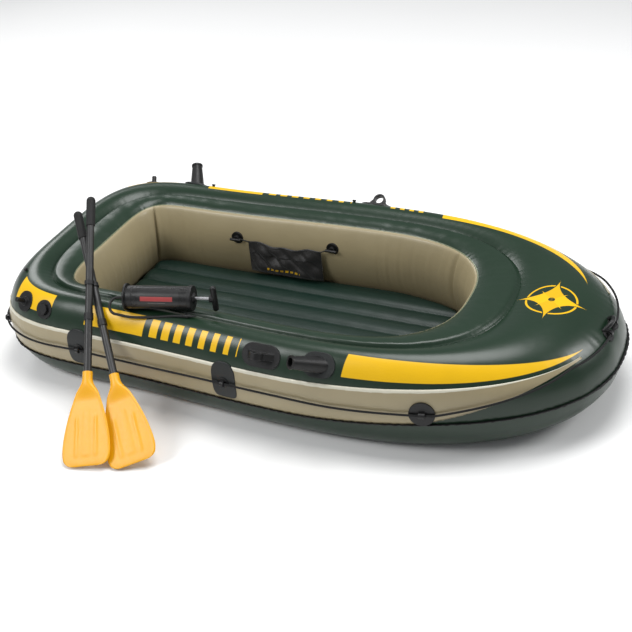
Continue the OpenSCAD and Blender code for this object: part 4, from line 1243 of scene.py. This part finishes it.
def build_oars():
    """Places a lofted blade on each oar's axes and rounds the tubes, collars, rings and grips."""
    local = blade_rings()
    plastic = blade_plastic()
    soft = moulded("soft grip vinyl", colours().black, 0.5)
    for oar in ("oar_a", "oar_b"):
        origin, across, square, along = oar_axes(oar)
        rings = origin + local[..., :1] * across + local[..., 1:2] * square + local[..., 2:] * along
        mesh = loop_mesh(oar + "_blade_plate", rings, False)
        add_piece(oar + "_blade_plate", mesh, oar, plastic, (oar + "_blade",))
        shaft = tube_plastic()
        softened(oar + "_lower_shaft", shaft, 0.0006)
        softened(oar + "_upper_shaft", shaft, 0.0006)
        softened(oar + "_collar", soft, 0.001)
        softened(oar + "_grip", grip_rubber(along), 0.0012)
    softened("oar_tie_ring", soft, 0.0007)


# ---------------------------------------------------------------------------------------------
# Hand pump
# ---------------------------------------------------------------------------------------------

PUMP_YAW = math.radians(14)
PUMP_AT = np.array([-0.515, -0.462, 0.416])
HOSE_START = (-0.016, -0.005, 0.0)
HOSE_POINTS = (
    (0, 0, 0), (-12, 0, 0), (-23.9, -1.6, -1.8), (-33.9, -6.1, -6.7), (-40.6, -12.9, -14.1),
    (-43, -20.9, -22.9), (-40.6, -28.9, -31.7), (-33.9, -35.7, -39.1), (-23.9, -40.2, -44),
    (-12, -41.8, -45.8), (4, -44, -48), (26, -47, -51), (56, -48, -53), (88, -47, -53),
    (120, -46, -51), (152, -46, -49), (184, -47, -45), (216, -49, -42), (248, -52, -40),
)
HOSE_RADIUS = 0.005


def pump_frame(points):
    """Turns points by the pump's yaw and moves them to the pump's foot."""
    c, s = math.cos(PUMP_YAW), math.sin(PUMP_YAW)
    points = np.asarray(points, float)
    x, y = points[..., 0] * c - points[..., 1] * s, points[..., 0] * s + points[..., 1] * c
    return PUMP_AT + np.stack([x, y, points[..., 2]], -1)


def build_pump():
    """Rounds the pump's moulded pieces and sweeps the hose: circles along a smooth path through the
    hose's points, with a rib every 3 mm in its finish."""
    axis = np.array([math.cos(PUMP_YAW), math.sin(PUMP_YAW), 0.0])
    c = colours()
    dark = moulded("pump plastic", (0.011, 0.011, 0.011), 0.3, 0.25)
    black = moulded("pump trim", c.black, 0.42)
    softened("pump_barrel", dark, 0.0008)
    softened("pump_piston", black, 0.0008)
    for node in ("pump_base", "pump_cap", "pump_port"):
        softened(node, black, 0.0014)
    softened("pump_handle", black, 0.0012)
    softened("pump_rod", drawn_steel(), 0.0003)
    softened("pump_label", label_film(axis), 0.0002)
    nozzle = softened("pump_nozzle", black, 0.0008)
    path = smooth_path(pump_frame(np.array(HOSE_START) + np.array(HOSE_POINTS) / 1000), 400)
    steps = np.linalg.norm(np.diff(path, axis=0), axis=1)
    run = np.concatenate([[0], np.cumsum(steps)])
    rings = tube_rings(path, HOSE_RADIUS, 20)
    mesh = loop_mesh("hose", rings, False, (np.append(run, run[-1]), np.linspace(0, 1, 21)))
    hose = add_piece("hose", mesh, "pump", hose_rubber(), ("pump_hose",))


# ---------------------------------------------------------------------------------------------
# Stage
# ---------------------------------------------------------------------------------------------


FLOOR_HALF = 14.0
FLOOR_LEVEL = -0.0008
SKY_COLOUR = (0.95, 0.97, 1.0, 1.0)
SKY_STRENGTH = 0.35
# Each light's name, place, aim, width and power.
LIGHTS = (
    ("overhead", (0.4, 0.6, 4.6), (0, 0, 0.2), 3.2, 190),
    ("key", (-2.6, -3.0, 3.6), (0, 0, 0.2), 2.2, 120),
    ("bow", (4.2, 1.4, 2.8), (0.5, 0, 0.2), 1.8, 90),
    ("stern", (-4.0, 2.6, 3.0), (-0.4, 0, 0.2), 2.0, 60),
)
CAMERA_TURN = math.radians(27.91)
CAMERA_RISE = math.radians(32.81)
CAMERA_ROLL = math.radians(-6.43)
CAMERA_AT = np.array([1.825, -3.445, 2.714])
LENS_MM = 68.9
SENSOR_MM = 36
LENS_SHIFT = (0.0047, -0.024)
FAR_CLIP = 60


def soft_light(name, place, aim, size, power):
    """A round area light turned from its place towards its aim."""
    light = bpy.data.lights.new(name, "AREA")
    light.shape = "DISK"
    light.size = size
    light.energy = power
    lamp = bpy.data.objects.new(name, light)
    lamp.location = place
    lamp.rotation_euler = (Vector(aim) - Vector(place)).to_track_quat("-Z", "Y").to_euler()
    bpy.context.scene.collection.objects.link(lamp)
    return lamp


def build_stage():
    """A pale floor, four soft lights and the camera."""
    scene = bpy.context.scene
    scene.view_settings.view_transform = "Standard"
    signs = ((-1, -1), (1, -1), (1, 1), (-1, 1))
    corners = [(x * FLOOR_HALF, y * FLOOR_HALF, FLOOR_LEVEL) for x, y in signs]
    mesh = bpy.data.meshes.new("studio_floor")
    mesh.from_pydata(corners, [], [(0, 1, 2, 3)])
    mesh.materials.append(pale_floor())
    floor = bpy.data.objects.new("studio_floor", mesh)
    scene.collection.objects.link(floor)

    world = bpy.data.worlds.new("studio")
    world.use_nodes = True
    scene.world = world
    sky = world.node_tree.nodes["Background"]
    sky.inputs["Color"].default_value = SKY_COLOUR
    sky.inputs["Strength"].default_value = SKY_STRENGTH
    for light in LIGHTS:
        soft_light(*light)

    level = math.cos(CAMERA_RISE)
    back = np.array([
        math.sin(CAMERA_TURN) * level, -math.cos(CAMERA_TURN) * level, math.sin(CAMERA_RISE),
    ])
    right = unit(np.cross(-back, (0, 0, 1.0)))
    up = np.cross(right, -back)
    c, s = math.cos(CAMERA_ROLL), math.sin(CAMERA_ROLL)
    lens = bpy.data.cameras.new("view")
    lens.lens = LENS_MM
    lens.sensor_width = SENSOR_MM
    lens.shift_x, lens.shift_y = LENS_SHIFT
    lens.clip_end = FAR_CLIP
    camera = bpy.data.objects.new("view", lens)
    columns = (c * right + s * up, c * up - s * right, back, CAMERA_AT)
    for row in range(3):
        for column in range(4):
            camera.matrix_world[row][column] = columns[column][row]
    scene.collection.objects.link(camera)
    scene.camera = camera


# ---------------------------------------------------------------------------------------------
# Add-on
# ---------------------------------------------------------------------------------------------


class BOAT_OT_stage(bpy.types.Operator):
    """Adds the floor, lights and camera."""

    bl_idname = "boat.stage"
    bl_label = "Stage"
    bl_options = {"REGISTER", "UNDO"}

    def execute(self, context):
        build_stage()
        return {"FINISHED"}


class BOAT_OT_outer_chamber(bpy.types.Operator):
    """Builds the outer tube's skin."""

    bl_idname = "boat.outer_chamber"
    bl_label = "Outer chamber"
    bl_options = {"REGISTER", "UNDO"}

    def execute(self, context):
        build_outer_chamber()
        return {"FINISHED"}


class BOAT_OT_side_band(bpy.types.Operator):
    """Builds the beige side panel."""

    bl_idname = "boat.side_band"
    bl_label = "Side panel"
    bl_options = {"REGISTER", "UNDO"}

    def execute(self, context):
        build_side_band()
        return {"FINISHED"}


class BOAT_OT_inner_chamber(bpy.types.Operator):
    """Builds the deck and cockpit wall."""

    bl_idname = "boat.inner_chamber"
    bl_label = "Inner chamber"
    bl_options = {"REGISTER", "UNDO"}

    def execute(self, context):
        build_inner_chamber()
        return {"FINISHED"}


class BOAT_OT_weld_flange(bpy.types.Operator):
    """Builds the scalloped weld flange."""

    bl_idname = "boat.weld_flange"
    bl_label = "Weld flange"
    bl_options = {"REGISTER", "UNDO"}

    def execute(self, context):
        build_weld_flange()
        return {"FINISHED"}


class BOAT_OT_floor(bpy.types.Operator):
    """Builds the padded floor."""

    bl_idname = "boat.floor"
    bl_label = "Floor"
    bl_options = {"REGISTER", "UNDO"}

    def execute(self, context):
        build_floor()
        return {"FINISHED"}


class BOAT_OT_grab_rope(bpy.types.Operator):
    """Builds the rope."""

    bl_idname = "boat.grab_rope"
    bl_label = "Grab rope"
    bl_options = {"REGISTER", "UNDO"}

    def execute(self, context):
        build_grab_rope()
        return {"FINISHED"}


class BOAT_OT_patches(bpy.types.Operator):
    """Builds the patches behind the rope eyes."""

    bl_idname = "boat.patches"
    bl_label = "Patches"
    bl_options = {"REGISTER", "UNDO"}

    def execute(self, context):
        build_patches()
        return {"FINISHED"}


class BOAT_OT_fittings(bpy.types.Operator):
    """Rounds the moulded fittings."""

    bl_idname = "boat.fittings"
    bl_label = "Fittings"
    bl_options = {"REGISTER", "UNDO"}

    def execute(self, context):
        build_fittings()
        return {"FINISHED"}


class BOAT_OT_pouch(bpy.types.Operator):
    """Builds the pouch on the cockpit wall."""

    bl_idname = "boat.pouch"
    bl_label = "Pouch"
    bl_options = {"REGISTER", "UNDO"}

    def execute(self, context):
        build_pouch()
        return {"FINISHED"}


class BOAT_OT_oars(bpy.types.Operator):
    """Builds the oar blades and shafts."""

    bl_idname = "boat.oars"
    bl_label = "Oars"
    bl_options = {"REGISTER", "UNDO"}

    def execute(self, context):
        build_oars()
        return {"FINISHED"}


class BOAT_OT_pump(bpy.types.Operator):
    """Builds the pump and its hose."""

    bl_idname = "boat.pump"
    bl_label = "Hand pump"
    bl_options = {"REGISTER", "UNDO"}

    def execute(self, context):
        build_pump()
        return {"FINISHED"}


OPERATORS = (
    BOAT_OT_stage,
    BOAT_OT_outer_chamber,
    BOAT_OT_side_band,
    BOAT_OT_inner_chamber,
    BOAT_OT_weld_flange,
    BOAT_OT_floor,
    BOAT_OT_grab_rope,
    BOAT_OT_patches,
    BOAT_OT_fittings,
    BOAT_OT_pouch,
    BOAT_OT_oars,
    BOAT_OT_pump,
)


class BOAT_PT_panel(bpy.types.Panel):
    """Sizes, colours and one button for each piece."""

    bl_label = "Inflatable boat"
    bl_space_type = "VIEW_3D"
    bl_region_type = "UI"
    bl_category = "Boat"

    def draw(self, context):
        column = self.layout.column(align=True)
        for group in (context.scene.boat_hull, context.scene.boat_colours):
            for name in group.__annotations__:
                column.prop(group, name)
            column.separator()
        for step in OPERATORS:
            column.operator(step.bl_idname)


CLASSES = (HullSizes, Colours, *OPERATORS, BOAT_PT_panel)


def register():
    for item in CLASSES:
        bpy.utils.register_class(item)
    bpy.types.Scene.boat_hull = PointerProperty(type=HullSizes)
    bpy.types.Scene.boat_colours = PointerProperty(type=Colours)


def unregister():
    del bpy.types.Scene.boat_hull
    del bpy.types.Scene.boat_colours
    for item in reversed(CLASSES):
        bpy.utils.unregister_class(item)


def main():
    register()
    for step in OPERATORS:
        getattr(bpy.ops.boat, step.bl_idname.split(".")[1])()


if __name__ == "__main__":
    main()
